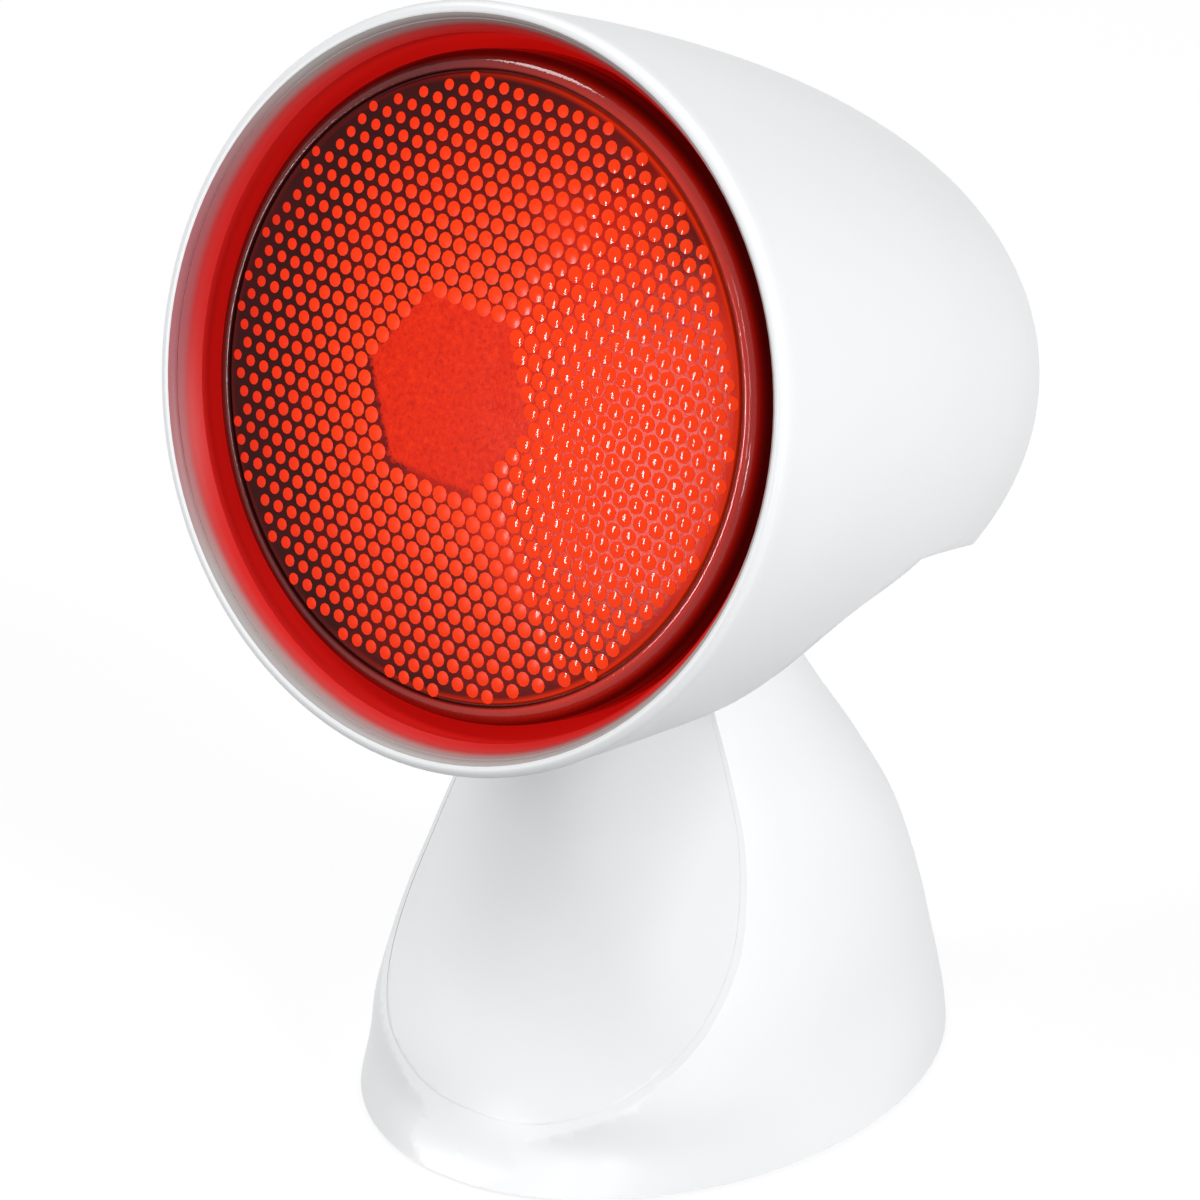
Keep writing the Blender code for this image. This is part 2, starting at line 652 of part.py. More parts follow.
def post_places():
    """Places of the four posts that take the bottom cover's screws."""
    return [(side * x * FOOT_HALF_WIDTH, y * FOOT_HALF_LENGTH) for x, y in POST_PLACE_SHARES for _, side in SIDES]


def pad_places():
    """Places of the four pads."""
    x, y = PAD_PLACE_SHARES
    return [(side * x * FOOT_HALF_WIDTH, end * y * FOOT_HALF_LENGTH) for end in (-1, 1) for _, side in SIDES]


def make_base_shell():
    """Bell-shaped outer shell with posts, a shelf under the neck and a pocket at the rear."""
    shell = bell("base_shell")
    seat = bell("seat", PANEL_EDGE, -OVERRUN, NECK_Z + OVERRUN)
    keep_inside(seat, panel_block("seat_front", None, PANEL_WALL + CLEARANCE, PANEL_FOOT_Z - CLEARANCE))
    cut(shell, fuse(panel_block("front", None, 0.0), seat))
    hollow = bell("hollow", BELL_WALL, -OVERRUN, NECK_Z + OVERRUN)
    post_bottom = PLATE_TOP_Z + CLEARANCE
    for x, y in post_places():
        cut(hollow, rod("post", (x, y, post_bottom), (x, y, POST_TOP_SHARE * NECK_Z), POST_RADIUS_OUTER))
    shelf_top = FORK_FOOT_Z - CLEARANCE
    cut(hollow, box("shelf", (-FAR, -FAR, shelf_top - SHELF_WALL), (FAR, FAR, shelf_top)))
    side = POCKET_HALF_WIDTH + POCKET_WALL
    cut(hollow, box("pocket", (-side, POCKET_FLOOR_Y - POCKET_WALL, post_bottom),
                    (side, FAR, POCKET_TOP_Z + POCKET_WALL)))
    cut(shell, hollow)
    cut(shell, box("pocket", (-POCKET_HALF_WIDTH, POCKET_FLOOR_Y, POCKET_BOTTOM_Z),
                   (POCKET_HALF_WIDTH, FAR, POCKET_TOP_Z)))
    width, height = SWITCH_HALF_WIDTH + CLEARANCE, SWITCH_HALF_HEIGHT + CLEARANCE
    behind = POCKET_FLOOR_Y - POCKET_WALL - OVERRUN
    cut(shell, box("switch_hole", (-width, behind, SWITCH_Z - height), (width, FAR, SWITCH_Z + height)))
    cut(shell, rod("gland_hole", (0, behind, GLAND_Z), (0, FAR, GLAND_Z), GLAND_RADIUS + CLEARANCE))
    for x, y in post_places():
        cut(shell, screw_hole((x, y, post_bottom), (0, 0, 1)))
    for _, side in SIDES:
        cut(shell, screw_hole((side * FORK_SCREW_X, 0, shelf_top - SHELF_WALL), (0, 0, 1)))
    cut(shell, rod("lead_hole", (0, 0, shelf_top - SHELF_WALL - OVERRUN), (0, 0, shelf_top + OVERRUN),
                   LEAD_HOLE_RADIUS))
    return finish(shell, WHITE_PLASTIC)


def make_front_panel():
    """Teardrop shield that lies in the shell's front."""
    panel = bell("front_panel", PANEL_EDGE + CLEARANCE, -OVERRUN, NECK_Z - CLEARANCE)
    keep_inside(panel, panel_block("sheet", 0.0, PANEL_WALL, PANEL_FOOT_Z))
    return finish(panel, WHITE_PLASTIC)


def weight_screw_place():
    """Place of the weight's screw."""
    return (0.0, WEIGHT_SCREW_SHARE * WEIGHT_LENGTH_SHARE * FOOT_HALF_LENGTH)


def make_base_plate():
    """Bottom cover with recesses for the feet."""
    outline = bell_section(PLATE_TOP_Z, BELL_WALL + CLEARANCE)
    plate = solid_from_rings("base_plate", [[(x, y, z) for x, y, _ in outline] for z in (PLATE_Z, PLATE_TOP_Z)])
    for x, y in pad_places():
        cut(plate, rod("recess", (x, y, -OVERRUN), (x, y, PLATE_Z + PAD_RECESS), PAD_RADIUS + CLEARANCE))
    for x, y in post_places():
        cut(plate, screw_hole((x, y, PLATE_Z), (0, 0, 1)))
        cut(plate, rod("head", (x, y, -OVERRUN), (x, y, PLATE_Z + SCREW_HEAD_HEIGHT), SCREW_HEAD_RADIUS + CLEARANCE))
    cut(plate, screw_hole((*weight_screw_place(), PLATE_Z), (0, 0, 1)))
    return finish(plate, GREY_PLASTIC)


def make_base_screws():
    """Four screws from below into the posts."""
    seat_z = PLATE_Z + SCREW_HEAD_HEIGHT - CLEARANCE
    return [screw(f"base_screw_{number}", (x, y, seat_z), (0, 0, 1))
            for number, (x, y) in enumerate(post_places(), 1)]


def make_foot_pads():
    """Four round pads that the lamp stands on."""
    height = PLATE_Z + PAD_RECESS - CLEARANCE + STANDOFF
    steps = ((0.0, PAD_RADIUS * PAD_FOOT_SHARE), (height - PAD_RECESS / 2, PAD_RADIUS), (height, PAD_RADIUS))
    return [finish(stepped_rod(f"foot_pad_{number}", (x, y, -STANDOFF), (0, 0, 1), steps), RUBBER)
            for number, (x, y) in enumerate(pad_places(), 1)]


def make_counterweight():
    """Oval steel weight on the bottom cover."""
    rings = []
    for z in (PLATE_TOP_Z + CLEARANCE, WEIGHT_TOP_Z):
        rings.append([(WEIGHT_WIDTH_SHARE * FOOT_HALF_WIDTH * math.cos(math.tau * step / SMALL_SEGMENTS),
                       WEIGHT_LENGTH_SHARE * FOOT_HALF_LENGTH * math.sin(math.tau * step / SMALL_SEGMENTS), z)
                      for step in range(SMALL_SEGMENTS)])
    weight = solid_from_rings("counterweight", rings)
    cut(weight, screw_hole((*weight_screw_place(), WEIGHT_TOP_Z), (0, 0, -1), WEIGHT_WALL + OVERRUN))
    return finish(weight, STEEL)


def make_weight_screw():
    """Screw that holds the weight on the bottom cover."""
    seat_z = WEIGHT_TOP_Z + CLEARANCE
    return screw("weight_screw", (*weight_screw_place(), seat_z), (0, 0, -1), seat_z - PLATE_Z - CLEARANCE)


def make_hinge_fork():
    """Two cheeks for the tilt axis, with a flange that closes the top of the neck."""
    bottom = NECK_Z + CLEARANCE
    rings = []
    for rise, inset in zip(FORK_FLANGE_RISE_SHARES, FORK_FLANGE_INSET_SHARES):
        section = bell_section(NECK_Z, inset * FORK_FLANGE_ROUND)
        rings.append([(x, y, bottom + rise * FORK_FLANGE_WALL) for x, y, _ in section])
    fork = solid_from_rings("hinge_fork", rings)
    outline = [(-CHEEK_RADIUS, FORK_FOOT_Z), (CHEEK_RADIUS, FORK_FOOT_Z)]
    for step in range(HINGE_SEGMENTS // 2 + 1):
        angle = math.tau * step / HINGE_SEGMENTS
        outline.append((CHEEK_RADIUS * math.cos(angle), PIVOT_Z + CHEEK_RADIUS * math.sin(angle)))
    fuse(fork, extruded("cheeks", outline, CHEEK_OUTER_X))
    cut(fork, box("slot", (-CHEEK_INNER_X, -FORK_SLOT_HALF_DEPTH, FORK_FOOT_Z + FORK_WEB_WALL),
                  (CHEEK_INNER_X, FORK_SLOT_HALF_DEPTH, FAR)))
    head_seat = CHEEK_OUTER_X - BOLT_HEAD_WALL - CLEARANCE
    middle, end = (head_seat + CHEEK_OUTER_X) / 2, CHEEK_OUTER_X + CHEEK_MARGIN / 2
    cut(fork, rod("axis", (-middle, 0, PIVOT_Z), (middle, 0, PIVOT_Z), BOLT_RADIUS + CLEARANCE, HINGE_SEGMENTS))
    for _, side in SIDES:
        cut(fork, rod("head", (side * head_seat, 0, PIVOT_Z), (side * end, 0, PIVOT_Z),
                      BOLT_HEAD_RADIUS + CLEARANCE, HINGE_SEGMENTS))
        cut(fork, screw_hole((side * FORK_SCREW_X, 0, FORK_FOOT_Z - SHELF_WALL - CLEARANCE), (0, 0, 1)))
    cut(fork, rod("lead_hole", (0, 0, FORK_FOOT_Z - OVERRUN), (0, 0, PIVOT_Z), LEAD_HOLE_RADIUS))
    cut(fork, panel_block("front", None, 0.0, FORK_FOOT_Z))
    return finish(fork, WHITE_PLASTIC)


def make_fork_screws():
    """Two screws that hold the fork on the shelf in the neck."""
    seat_z = FORK_FOOT_Z - SHELF_WALL - CLEARANCE * 2
    return [screw(f"fork_screw_{name}", (side * FORK_SCREW_X, 0, seat_z), (0, 0, 1)) for name, side in SIDES]


def make_pivot_bolts():
    """Shoulder bolts from both sides, the tilt axis."""
    head = CHEEK_OUTER_X - BOLT_HEAD_WALL - BOLT_TIP_X
    end = CHEEK_OUTER_X - BOLT_TIP_X
    steps = ((0.0, BOLT_RADIUS), (head, BOLT_RADIUS), (head, BOLT_HEAD_RADIUS), (end, BOLT_HEAD_RADIUS))
    return [finish(stepped_rod(f"pivot_bolt_{name}", (side * BOLT_TIP_X, 0, PIVOT_Z), (side, 0, 0), steps,
                               HINGE_SEGMENTS), STEEL) for name, side in SIDES]


def make_friction_washers():
    """Washers between the cheeks and the barrel."""
    inner = BARREL_HALF + CLEARANCE
    washers = []
    for name, side in SIDES:
        washer = rod(f"friction_washer_{name}", (side * inner, 0, PIVOT_Z),
                     (side * (inner + WASHER_WALL), 0, PIVOT_Z), WASHER_RADIUS)
        cut(washer, rod("bore", (-FAR, 0, PIVOT_Z), (FAR, 0, PIVOT_Z), BOLT_RADIUS + CLEARANCE))
        washers.append(finish(washer, GREY_PLASTIC))
    return washers


def make_detent_spring():
    """Leaf spring on the fork's web whose crest rides on the barrel's grooves."""
    foot = FORK_FOOT_Z + FORK_WEB_WALL + CLEARANCE
    crest = PIVOT_Z - BARREL_RADIUS - CLEARANCE
    end, knee, top = (share * DETENT_HALF_LENGTH for share in DETENT_SHARES)
    upper = [(-end, foot + DETENT_WALL), (-knee, foot + DETENT_WALL), (-top, crest),
             (top, crest), (knee, foot + DETENT_WALL), (end, foot + DETENT_WALL)]
    lower = [(end, foot), (knee - DETENT_WALL, foot), (top - DETENT_WALL / 2, crest - DETENT_WALL),
             (DETENT_WALL / 2 - top, crest - DETENT_WALL), (DETENT_WALL - knee, foot), (-end, foot)]
    spring = extruded("detent_spring", upper + lower, BARREL_HALF)
    cut(spring, rod("lead_hole", (0, 0, FORK_FOOT_Z), (0, 0, PIVOT_Z), LEAD_HOLE_RADIUS))
    return finish(spring, STEEL)


def make_switch_housing():
    """Body of the mains switch with its bezel on the pocket's floor."""
    face = POCKET_FLOOR_Y + CLEARANCE
    housing = box("switch_housing", (-BEZEL_HALF_WIDTH, face, SWITCH_Z - BEZEL_HALF_HEIGHT),
                  (BEZEL_HALF_WIDTH, face + BEZEL_WALL, SWITCH_Z + BEZEL_HALF_HEIGHT))
    fuse(housing, box("body", (-SWITCH_HALF_WIDTH, face - SWITCH_DEPTH, SWITCH_Z - SWITCH_HALF_HEIGHT),
                      (SWITCH_HALF_WIDTH, face + BEZEL_WALL / 2, SWITCH_Z + SWITCH_HALF_HEIGHT)))
    cut(housing, box("mouth", (-MOUTH_HALF_WIDTH, face - MOUTH_DEPTH, SWITCH_Z - MOUTH_HALF_HEIGHT),
                     (MOUTH_HALF_WIDTH, FAR, SWITCH_Z + MOUTH_HALF_HEIGHT)))
    return finish(housing, BLACK_PLASTIC)


def make_switch_rocker():
    """Rocker about its own axis, with its two faces in a shallow V."""
    half = MOUTH_HALF_HEIGHT - ROCKER_END_PLAY
    foot = half * ROCKER_FOOT_SHARE
    rise = half * math.tan(ROCKER_TILT)
    outline = [(-ROCKER_DEPTH, -foot), (-ROCKER_DEPTH, foot), (0.0, half), (ROCKER_CREST + rise, half),
               (ROCKER_CREST + rise / 2, half / 2), (ROCKER_CREST, 0.0),
               (ROCKER_CREST + rise / 2, -half / 2), (ROCKER_CREST + rise, -half), (0.0, -half)]
    return finish(extruded("switch_rocker", outline, MOUTH_HALF_WIDTH - ROCKER_PLAY), BLACK_PLASTIC)


def make_switch_terminals():
    """Two blades at the back of the switch."""
    start = POCKET_FLOOR_Y - SWITCH_DEPTH
    blades = []
    for name, side in (("lower", -1), ("upper", 1)):
        z = SWITCH_Z + side * TERMINAL_SPREAD
        blades.append(finish(box(f"switch_terminal_{name}",
                                 (-TERMINAL_HALF_WIDTH, start - TERMINAL_LENGTH, z - TERMINAL_HALF_WALL),
                                 (TERMINAL_HALF_WIDTH, start, z + TERMINAL_HALF_WALL)), BRASS))
    return blades


def make_cord_gland():
    """Bushing for the mains lead in the pocket's floor."""
    face = POCKET_FLOOR_Y + CLEARANCE
    tip = GLAND_FLANGE_WALL + GLAND_NOSE_LENGTH
    steps = ((-GLAND_TAIL, GLAND_RADIUS), (0.0, GLAND_RADIUS), (0.0, GLAND_FLANGE_RADIUS),
             (GLAND_FLANGE_WALL, GLAND_FLANGE_RADIUS), (GLAND_FLANGE_WALL, GLAND_NOSE_RADIUS),
             (tip, GLAND_NOSE_RADIUS * GLAND_NOSE_TIP_SHARE))
    gland = stepped_rod("cord_gland", (0, face, GLAND_Z), (0, 1, 0), steps)
    cut(gland, rod("bore", (0, 0, GLAND_Z), (0, FAR, GLAND_Z), GLAND_BORE_RADIUS))
    return finish(gland, GREY_PLASTIC)


def make_gland_nut():
    """Hexagon nut that clamps the gland from inside."""
    face = POCKET_FLOOR_Y - POCKET_WALL - CLEARANCE
    nut = rod("gland_nut", (0, face - NUT_WALL, GLAND_Z), (0, face, GLAND_Z), NUT_RADIUS, 6)
    cut(nut, rod("bore", (0, 0, GLAND_Z), (0, FAR, GLAND_Z), GLAND_RADIUS + CLEARANCE))
    return finish(nut, GREY_PLASTIC)


def make_terminal_block():
    """Two-pole block on the weight where the leads join."""
    bottom = WEIGHT_TOP_Z + CLEARANCE
    top = bottom + BLOCK_HEIGHT
    block = box("terminal_block", (-BLOCK_HALF_WIDTH, BLOCK_Y - BLOCK_HALF_LENGTH, bottom),
                (BLOCK_HALF_WIDTH, BLOCK_Y + BLOCK_HALF_LENGTH, top))
    for _, side in SIDES:
        cut(block, screw_hole((side * BLOCK_SCREW_X, BLOCK_Y, top), (0, 0, -1), BLOCK_HEIGHT * BLOCK_SCREW_DEPTH_SHARE))
    return finish(block, GREY_PLASTIC)


def make_terminal_screws():
    """Clamping screws of the block."""
    seat = WEIGHT_TOP_Z + BLOCK_HEIGHT + CLEARANCE * 2
    return [screw(f"terminal_screw_{name}", (side * BLOCK_SCREW_X, BLOCK_Y, seat), (0, 0, -1),
                  BLOCK_HEIGHT * BLOCK_SCREW_DEPTH_SHARE, BRASS) for name, side in SIDES]


def make_base_leads():
    """Leads from the block and the switch up to the tilt axis, and one between block and switch."""
    blade_end = POCKET_FLOOR_Y - SWITCH_DEPTH - TERMINAL_LENGTH - LEAD_RADIUS
    block_z = WEIGHT_TOP_Z + BLOCK_HEIGHT / 2
    block_rear = BLOCK_Y + BLOCK_HALF_LENGTH + CLEARANCE + LEAD_RADIUS
    block_front = BLOCK_Y - BLOCK_HALF_LENGTH - CLEARANCE - LEAD_RADIUS
    upper_z, lower_z = SWITCH_Z + TERMINAL_SPREAD, SWITCH_Z - TERMINAL_SPREAD
    shelf_z = FORK_FOOT_Z - SHELF_WALL
    top_z = PIVOT_Z - LEAD_END_GAP
    rise = [(0, shelf_z), (0, (shelf_z + top_z) / 2), (0, top_z)]
    switched = [(blade_end, upper_z), (blade_end / 2, (upper_z * 2 + shelf_z) / 3)] + rise
    neutral = [(block_front, block_z), (block_front / 2, (block_z * 3 + shelf_z) / 4)] + rise
    feed = [(block_rear, block_z), ((block_rear + blade_end) / 2, (block_z + lower_z) / 2), (blade_end, lower_z)]
    return [lead("base_lead_left", [(-LEAD_SPREAD, y, z) for y, z in neutral]),
            lead("base_lead_right", [(LEAD_SPREAD, y, z) for y, z in switched]),
            lead("switch_lead", [(LEAD_SPREAD, y, z) for y, z in feed])]


# The head

def shade_solid(name, inset):
    """Solid dome inside the shade's outer curve."""
    return turned(name, [(0.0, 0.0)] + shade_outline(inset), SHADE_SEGMENTS, looped=False, drop=shade_drop)


def vent_cutter(up):
    """One horizontal slot with round ends."""
    half_length = math.sqrt(VENT_CIRCLE_RADIUS ** 2 - up ** 2) - VENT_HALF_HEIGHT
    outline = []
    for side in (1, -1):
        for step in range(VENT_END_STEPS + 1):
            angle = side * (math.pi / 2 - math.pi * step / VENT_END_STEPS)
            outline.append((side * (half_length + math.cos(angle) * VENT_HALF_HEIGHT),
                            up + math.sin(angle) * VENT_HALF_HEIGHT))
    rings = [[head_point(x, back, z) for x, z in outline] for back in (BRACKET_BACK + OVERRUN, SHADE_LENGTH + OVERRUN)]
    return solid_from_rings("vent", rings)


def lug_place():
    """Middle of the right lug on the cover's upper face: (x, y, z) about the tilt axis."""
    corner_y, corner_z = BITE_BACK_SHARES[-1] * BITE_REACH, BITE_UP_SHARES[-1] * BITE_RISE
    z = corner_z - bite_fall(LUG_BEHIND_PIVOT - corner_y) + COVER_WALL
    reach = shade_reach(PIVOT_BACK + LUG_BEHIND_PIVOT, z - AXIS_LIFT)
    return Vector((reach - LUG_WIDTH / 2, LUG_BEHIND_PIVOT, z))


def make_shade_shell():
    """Seamless dome with a rounded rim lip, the bite for the neck, lugs and rear vents."""
    lip = LIP_WIDTH / 2
    outer = [point for point in shade_outline() if point[0] > lip]
    inner = [point for point in shade_outline(SHADE_WALL) if point[0] > lip * 2]
    front = []
    for step in range(LIP_STEPS + 1):
        angle = math.pi * step / LIP_STEPS
        front.append((lip - lip * math.sin(angle), RIM_RADIUS - lip - lip * math.cos(angle)))
    shell = turned("shade_shell", inner[::-1] + front + outer, SHADE_SEGMENTS, looped=False, drop=shade_drop)
    for _, side in SIDES:
        x, y, z = lug_place()
        inner_x, outer_x = side * (x - LUG_WIDTH / 2), side * (x + LUG_WIDTH * 1.5)
        slope = bite_fall(y + LUG_HALF_LENGTH) - bite_fall(y)
        lug = box("lug", (min(inner_x, outer_x), y - LUG_HALF_LENGTH, z + CLEARANCE + slope),
                  (max(inner_x, outer_x), y + LUG_HALF_LENGTH, z + LUG_HEIGHT))
        keep_inside(lug, shade_solid("inside", SHADE_WALL / 2))
        fuse(shell, lug)
        cut(shell, screw_hole((side * x, y, z), (0, 0, 1), LUG_SCREW_LENGTH))
    edge = bite_edge()
    cut(shell, extruded("bite", edge + [(FAR, edge[-1][1]), (FAR, -FAR), (edge[0][0], -FAR)], FAR))
    for index in range(VENT_COUNT):
        cut(shell, vent_cutter((index - (VENT_COUNT - 1) / 2) * VENT_PITCH - SHADE_DROP / 2))
    return finish(shell, WHITE_PLASTIC)


def liner_solid():
    """Solid that fills the liner, with the usual clearance around it."""
    points = liner_outline(-CLEARANCE)
    front, end = points[0][0] - OVERRUN, points[-1][0] + OVERRUN
    profile = [(front, 0.0), (front, points[0][1])] + points + [(end, points[-1][1]), (end, 0.0)]
    return turned("liner_solid", profile, looped=False)


def saddle_screw_seat():
    """Seat of the right screw between knuckle and liner, about the tilt axis."""
    z = liner_floor_z(SADDLE_SCREW_BACK, SADDLE_SCREW_X, -CLEARANCE) - SADDLE_WALL
    return Vector((SADDLE_SCREW_X, SADDLE_SCREW_BACK, z))


def make_shade_liner():
    """Spun heat shield between bulb and shade, with a flange at its front."""
    outer = liner_outline()
    inner = liner_outline(LINER_WALL)
    rim = RIM_RADIUS - LIP_WIDTH - CLEARANCE * 2
    flange = [(LINER_FLANGE_BACK, inner[0][1]), (LINER_FLANGE_BACK, rim), (outer[0][0], rim)]
    liner = turned("shade_liner", inner[::-1] + flange + outer)
    cut(liner, box("lead_hole", (-SLOT_HALF_WIDTH, -SLOT_HALF_DEPTH, 0.0),
                   (SLOT_HALF_WIDTH, SLOT_HALF_DEPTH, AXIS_LIFT)))
    for _, side in SIDES:
        x, y, z = saddle_screw_seat()
        cut(liner, screw_hole((side * x, y, z), (0, 0, 1), SADDLE_SCREW_LENGTH + OVERRUN))
    return finish(liner, ALUMINIUM)


def make_underside_cover():
    """Sheet that closes the bite between shade and liner."""
    edge = [Vector(point) for point in bite_edge()]
    inner = []
    for index, point in enumerate(edge):
        run = edge[min(index + 1, len(edge) - 1)] - edge[max(index - 1, 0)]
        inner.append(point + Vector((-run.y, run.x)).normalized() * COVER_WALL)
    edge.insert(0, Vector((edge[0].x, -RIM_RADIUS)))
    inner.insert(0, Vector((edge[0].x - COVER_WALL, -RIM_RADIUS)))
    cover = extruded("underside_cover", [tuple(point) for point in edge + inner[::-1]], FAR)
    keep_inside(cover, shade_solid("inside", SHADE_WALL + CLEARANCE))
    cut(cover, liner_solid())
    for _, side in SIDES:
        x, y, z = lug_place()
        cut(cover, screw_hole((side * x, y, z - COVER_WALL - OVERRUN), (0, 0, 1)))
    return finish(cover, GREY_PLASTIC)


def make_cover_screws():
    """Two screws that hold the underside cover in the shade."""
    x, y, z = lug_place()
    drop = bite_fall(SCREW_HEAD_RADIUS + LUG_BEHIND_PIVOT) - bite_fall(LUG_BEHIND_PIVOT)
    seat = z - COVER_WALL - CLEARANCE - drop
    return [screw(f"cover_screw_{name}", (side * x, y, seat), (0, 0, 1), LUG_SCREW_LENGTH + COVER_WALL)
            for name, side in SIDES]


def make_hinge_knuckle():
    """Barrel on the tilt axis with an arm and a rear flange under the liner."""
    knuckle = rod("hinge_knuckle", (-BARREL_HALF, 0, 0), (BARREL_HALF, 0, 0), BARREL_RADIUS, HINGE_SEGMENTS)
    foot = liner_floor_z(SADDLE_BACK) - SADDLE_WALL
    arm = [(-ARM_HALF_DEPTH, 0.0), (ARM_HALF_DEPTH, 0.0), (SADDLE_BACK, foot),
           (SADDLE_BACK, AXIS_LIFT), (-ARM_HALF_DEPTH, AXIS_LIFT)]
    fuse(knuckle, extruded("arm", arm, BARREL_HALF - CLEARANCE))
    cut(knuckle, liner_solid())
    cut(knuckle, rod("axis", (-FAR, 0, 0), (FAR, 0, 0), BOLT_RADIUS + CLEARANCE, HINGE_SEGMENTS))
    low = -BARREL_RADIUS - OVERRUN
    slot = [(-SLOT_HALF_DEPTH, 0.0), (-SLOT_FRONT, low), (SLOT_BACK, low), (SLOT_HALF_DEPTH, 0.0),
            (SLOT_HALF_DEPTH, AXIS_LIFT), (-SLOT_HALF_DEPTH, AXIS_LIFT)]
    cut(knuckle, extruded("slot", slot, SLOT_HALF_WIDTH))
    for index in range(DETENT_COUNT):
        angle = (index - (DETENT_COUNT - 1) / 2) * DETENT_STEP + HEAD_PITCH
        y, z = BARREL_RADIUS * math.sin(angle), -BARREL_RADIUS * math.cos(angle)
        cut(knuckle, rod("groove", (-FAR, y, z), (FAR, y, z), DETENT_GROOVE_RADIUS, TINY_SEGMENTS))
    for _, side in SIDES:
        x, y, z = saddle_screw_seat()
        cut(knuckle, rod("head", (side * x, y, -BARREL_RADIUS), (side * x, y, z), SCREW_HEAD_RADIUS + CLEARANCE),
            screw_hole((side * x, y, z), (0, 0, 1), SADDLE_SCREW_LENGTH))
    return finish(knuckle, WHITE_PLASTIC)


def make_saddle_screws():
    """Two screws between knuckle and liner."""
    x, y, z = saddle_screw_seat()
    return [screw(f"saddle_screw_{name}", (side * x, y, z - CLEARANCE), (0, 0, 1), SADDLE_SCREW_LENGTH)
            for name, side in SIDES]


def make_bulb_lens():
    """Front glass of the bulb with its rounded shoulder."""
    edge = BULB_RADIUS - LENS_SHOULDER
    profile = [(BULB_SET_BACK + LENS_CROWN * share ** 2, edge * share) for share in (0, 0.25, 0.5, 0.75, 1)]
    for angle in (math.pi / 6, math.pi / 3, math.pi / 2):
        profile.append((LENS_EDGE_BACK + LENS_SHOULDER * (1 - math.cos(angle)), edge + LENS_SHOULDER * math.sin(angle)))
    profile += [(LENS_SEAM_BACK, BULB_RADIUS), (LENS_SEAM_BACK, BULB_RADIUS - SEAL_WIDTH)]
    inside = edge - LENS_SHOULDER
    profile += [(BULB_SET_BACK + LENS_WALL + LENS_CROWN * share ** 2, inside * share) for share in (1, 0.6, 0.3, 0)]
    return finish(turned("bulb_lens", profile, looped=False), RED_GLASS)


def make_bulb_reflector():
    """Parabolic glass body behind the lens."""
    start = LENS_SEAM_BACK + CLEARANCE
    steps = [start + (GLASS_BACK - start) * (1 - (1 - step / REFLECTOR_STEPS) ** 1.5)
             for step in range(REFLECTOR_STEPS + 1)]
    inner = [(back, reflector_radius(back)) for back in steps]
    flange_end = start + FLANGE_WALL
    outer = [(start, BULB_RADIUS), (flange_end, BULB_RADIUS)]
    outer += [(back, reflector_radius(back) + GLASS_WALL) for back in steps if back > flange_end]
    return finish(turned("bulb_reflector", inner[::-1] + outer), RED_GLASS)


def make_bulb_collar():
    """Metal skirt that joins the glass to the cap."""
    start_radius = reflector_radius(COLLAR_FRONT) + GLASS_WALL + CLEARANCE + COLLAR_WALL
    outer = [(COLLAR_FRONT, start_radius), ((COLLAR_FRONT + COLLAR_BACK) / 2, COLLAR_WAIST_RADIUS),
             (COLLAR_BACK, CAP_RADIUS)]
    inner = [(back, radius - COLLAR_WALL) for back, radius in outer]
    return finish(turned("bulb_collar", inner[::-1] + outer, SHADE_SEGMENTS // 2), ALUMINIUM)


def thread_profile(front, radius):
    """Wavy run of (back, radius) points for a rolled thread."""
    return [(front + THREAD_PITCH * step / 2, radius + THREAD_DEPTH / 2 * (1 if step % 2 else -1))
            for step in range(2 * THREAD_TURNS + 1)]


def make_bulb_cap():
    """Screw cap with its rolled thread."""
    root = CAP_RADIUS - THREAD_DEPTH
    thread = thread_profile(CAP_FRONT + THREAD_PITCH / 2, CAP_RADIUS - THREAD_DEPTH / 2)
    outer = [(CAP_FRONT, root)] + thread + [(CAP_BACK, root), (CAP_BACK + CAP_WALL * 2, CAP_HOLE_RADIUS)]
    inner = [(CAP_FRONT, root - CAP_WALL), (CAP_BACK - CAP_WALL, root - CAP_WALL), (CAP_BACK + CAP_WALL, CAP_HOLE_RADIUS)]
    return finish(turned("bulb_cap", inner[::-1] + outer, SMALL_SEGMENTS), BRASS)


def make_cap_insulator():
    """Dark glass ring between cap and centre contact."""
    radius = CAP_HOLE_RADIUS - CLEARANCE
    start = CAP_BACK + CAP_WALL
    profile = [(start, 0.0), (start, radius), (CAP_BACK + CAP_WALL * 2, radius),
               (INSULATOR_BACK, CONTACT_RADIUS), (INSULATOR_BACK, 0.0)]
    return finish(turned("cap_insulator", profile, SMALL_SEGMENTS, looped=False), DARK_GLASS)


def make_cap_contact():
    """Centre contact of the bulb."""
    start = INSULATOR_BACK + CLEARANCE
    profile = [(start, 0.0), (start, CONTACT_RADIUS), ((start + CONTACT_BACK) / 2, CONTACT_RADIUS * 0.85),
               (CONTACT_BACK, 0.0)]
    return finish(turned("cap_contact", profile, SMALL_SEGMENTS, looped=False), BRASS)


def make_bulb_stem():
    """Glass foot behind the reflector that carries the filament posts."""
    start = GLASS_BACK + CLEARANCE
    disc_radius = reflector_radius(GLASS_BACK) + GLASS_WALL
    profile = [(start, 0.0), (start, disc_radius), (start + STEM_DISC_WALL, disc_radius),
               (start + STEM_DISC_WALL, STEM_RADIUS), (start + STEM_LENGTH, STEM_RADIUS), (start + STEM_LENGTH, 0.0)]
    return finish(turned("bulb_stem", profile, SMALL_SEGMENTS, looped=False), CLEAR_GLASS)


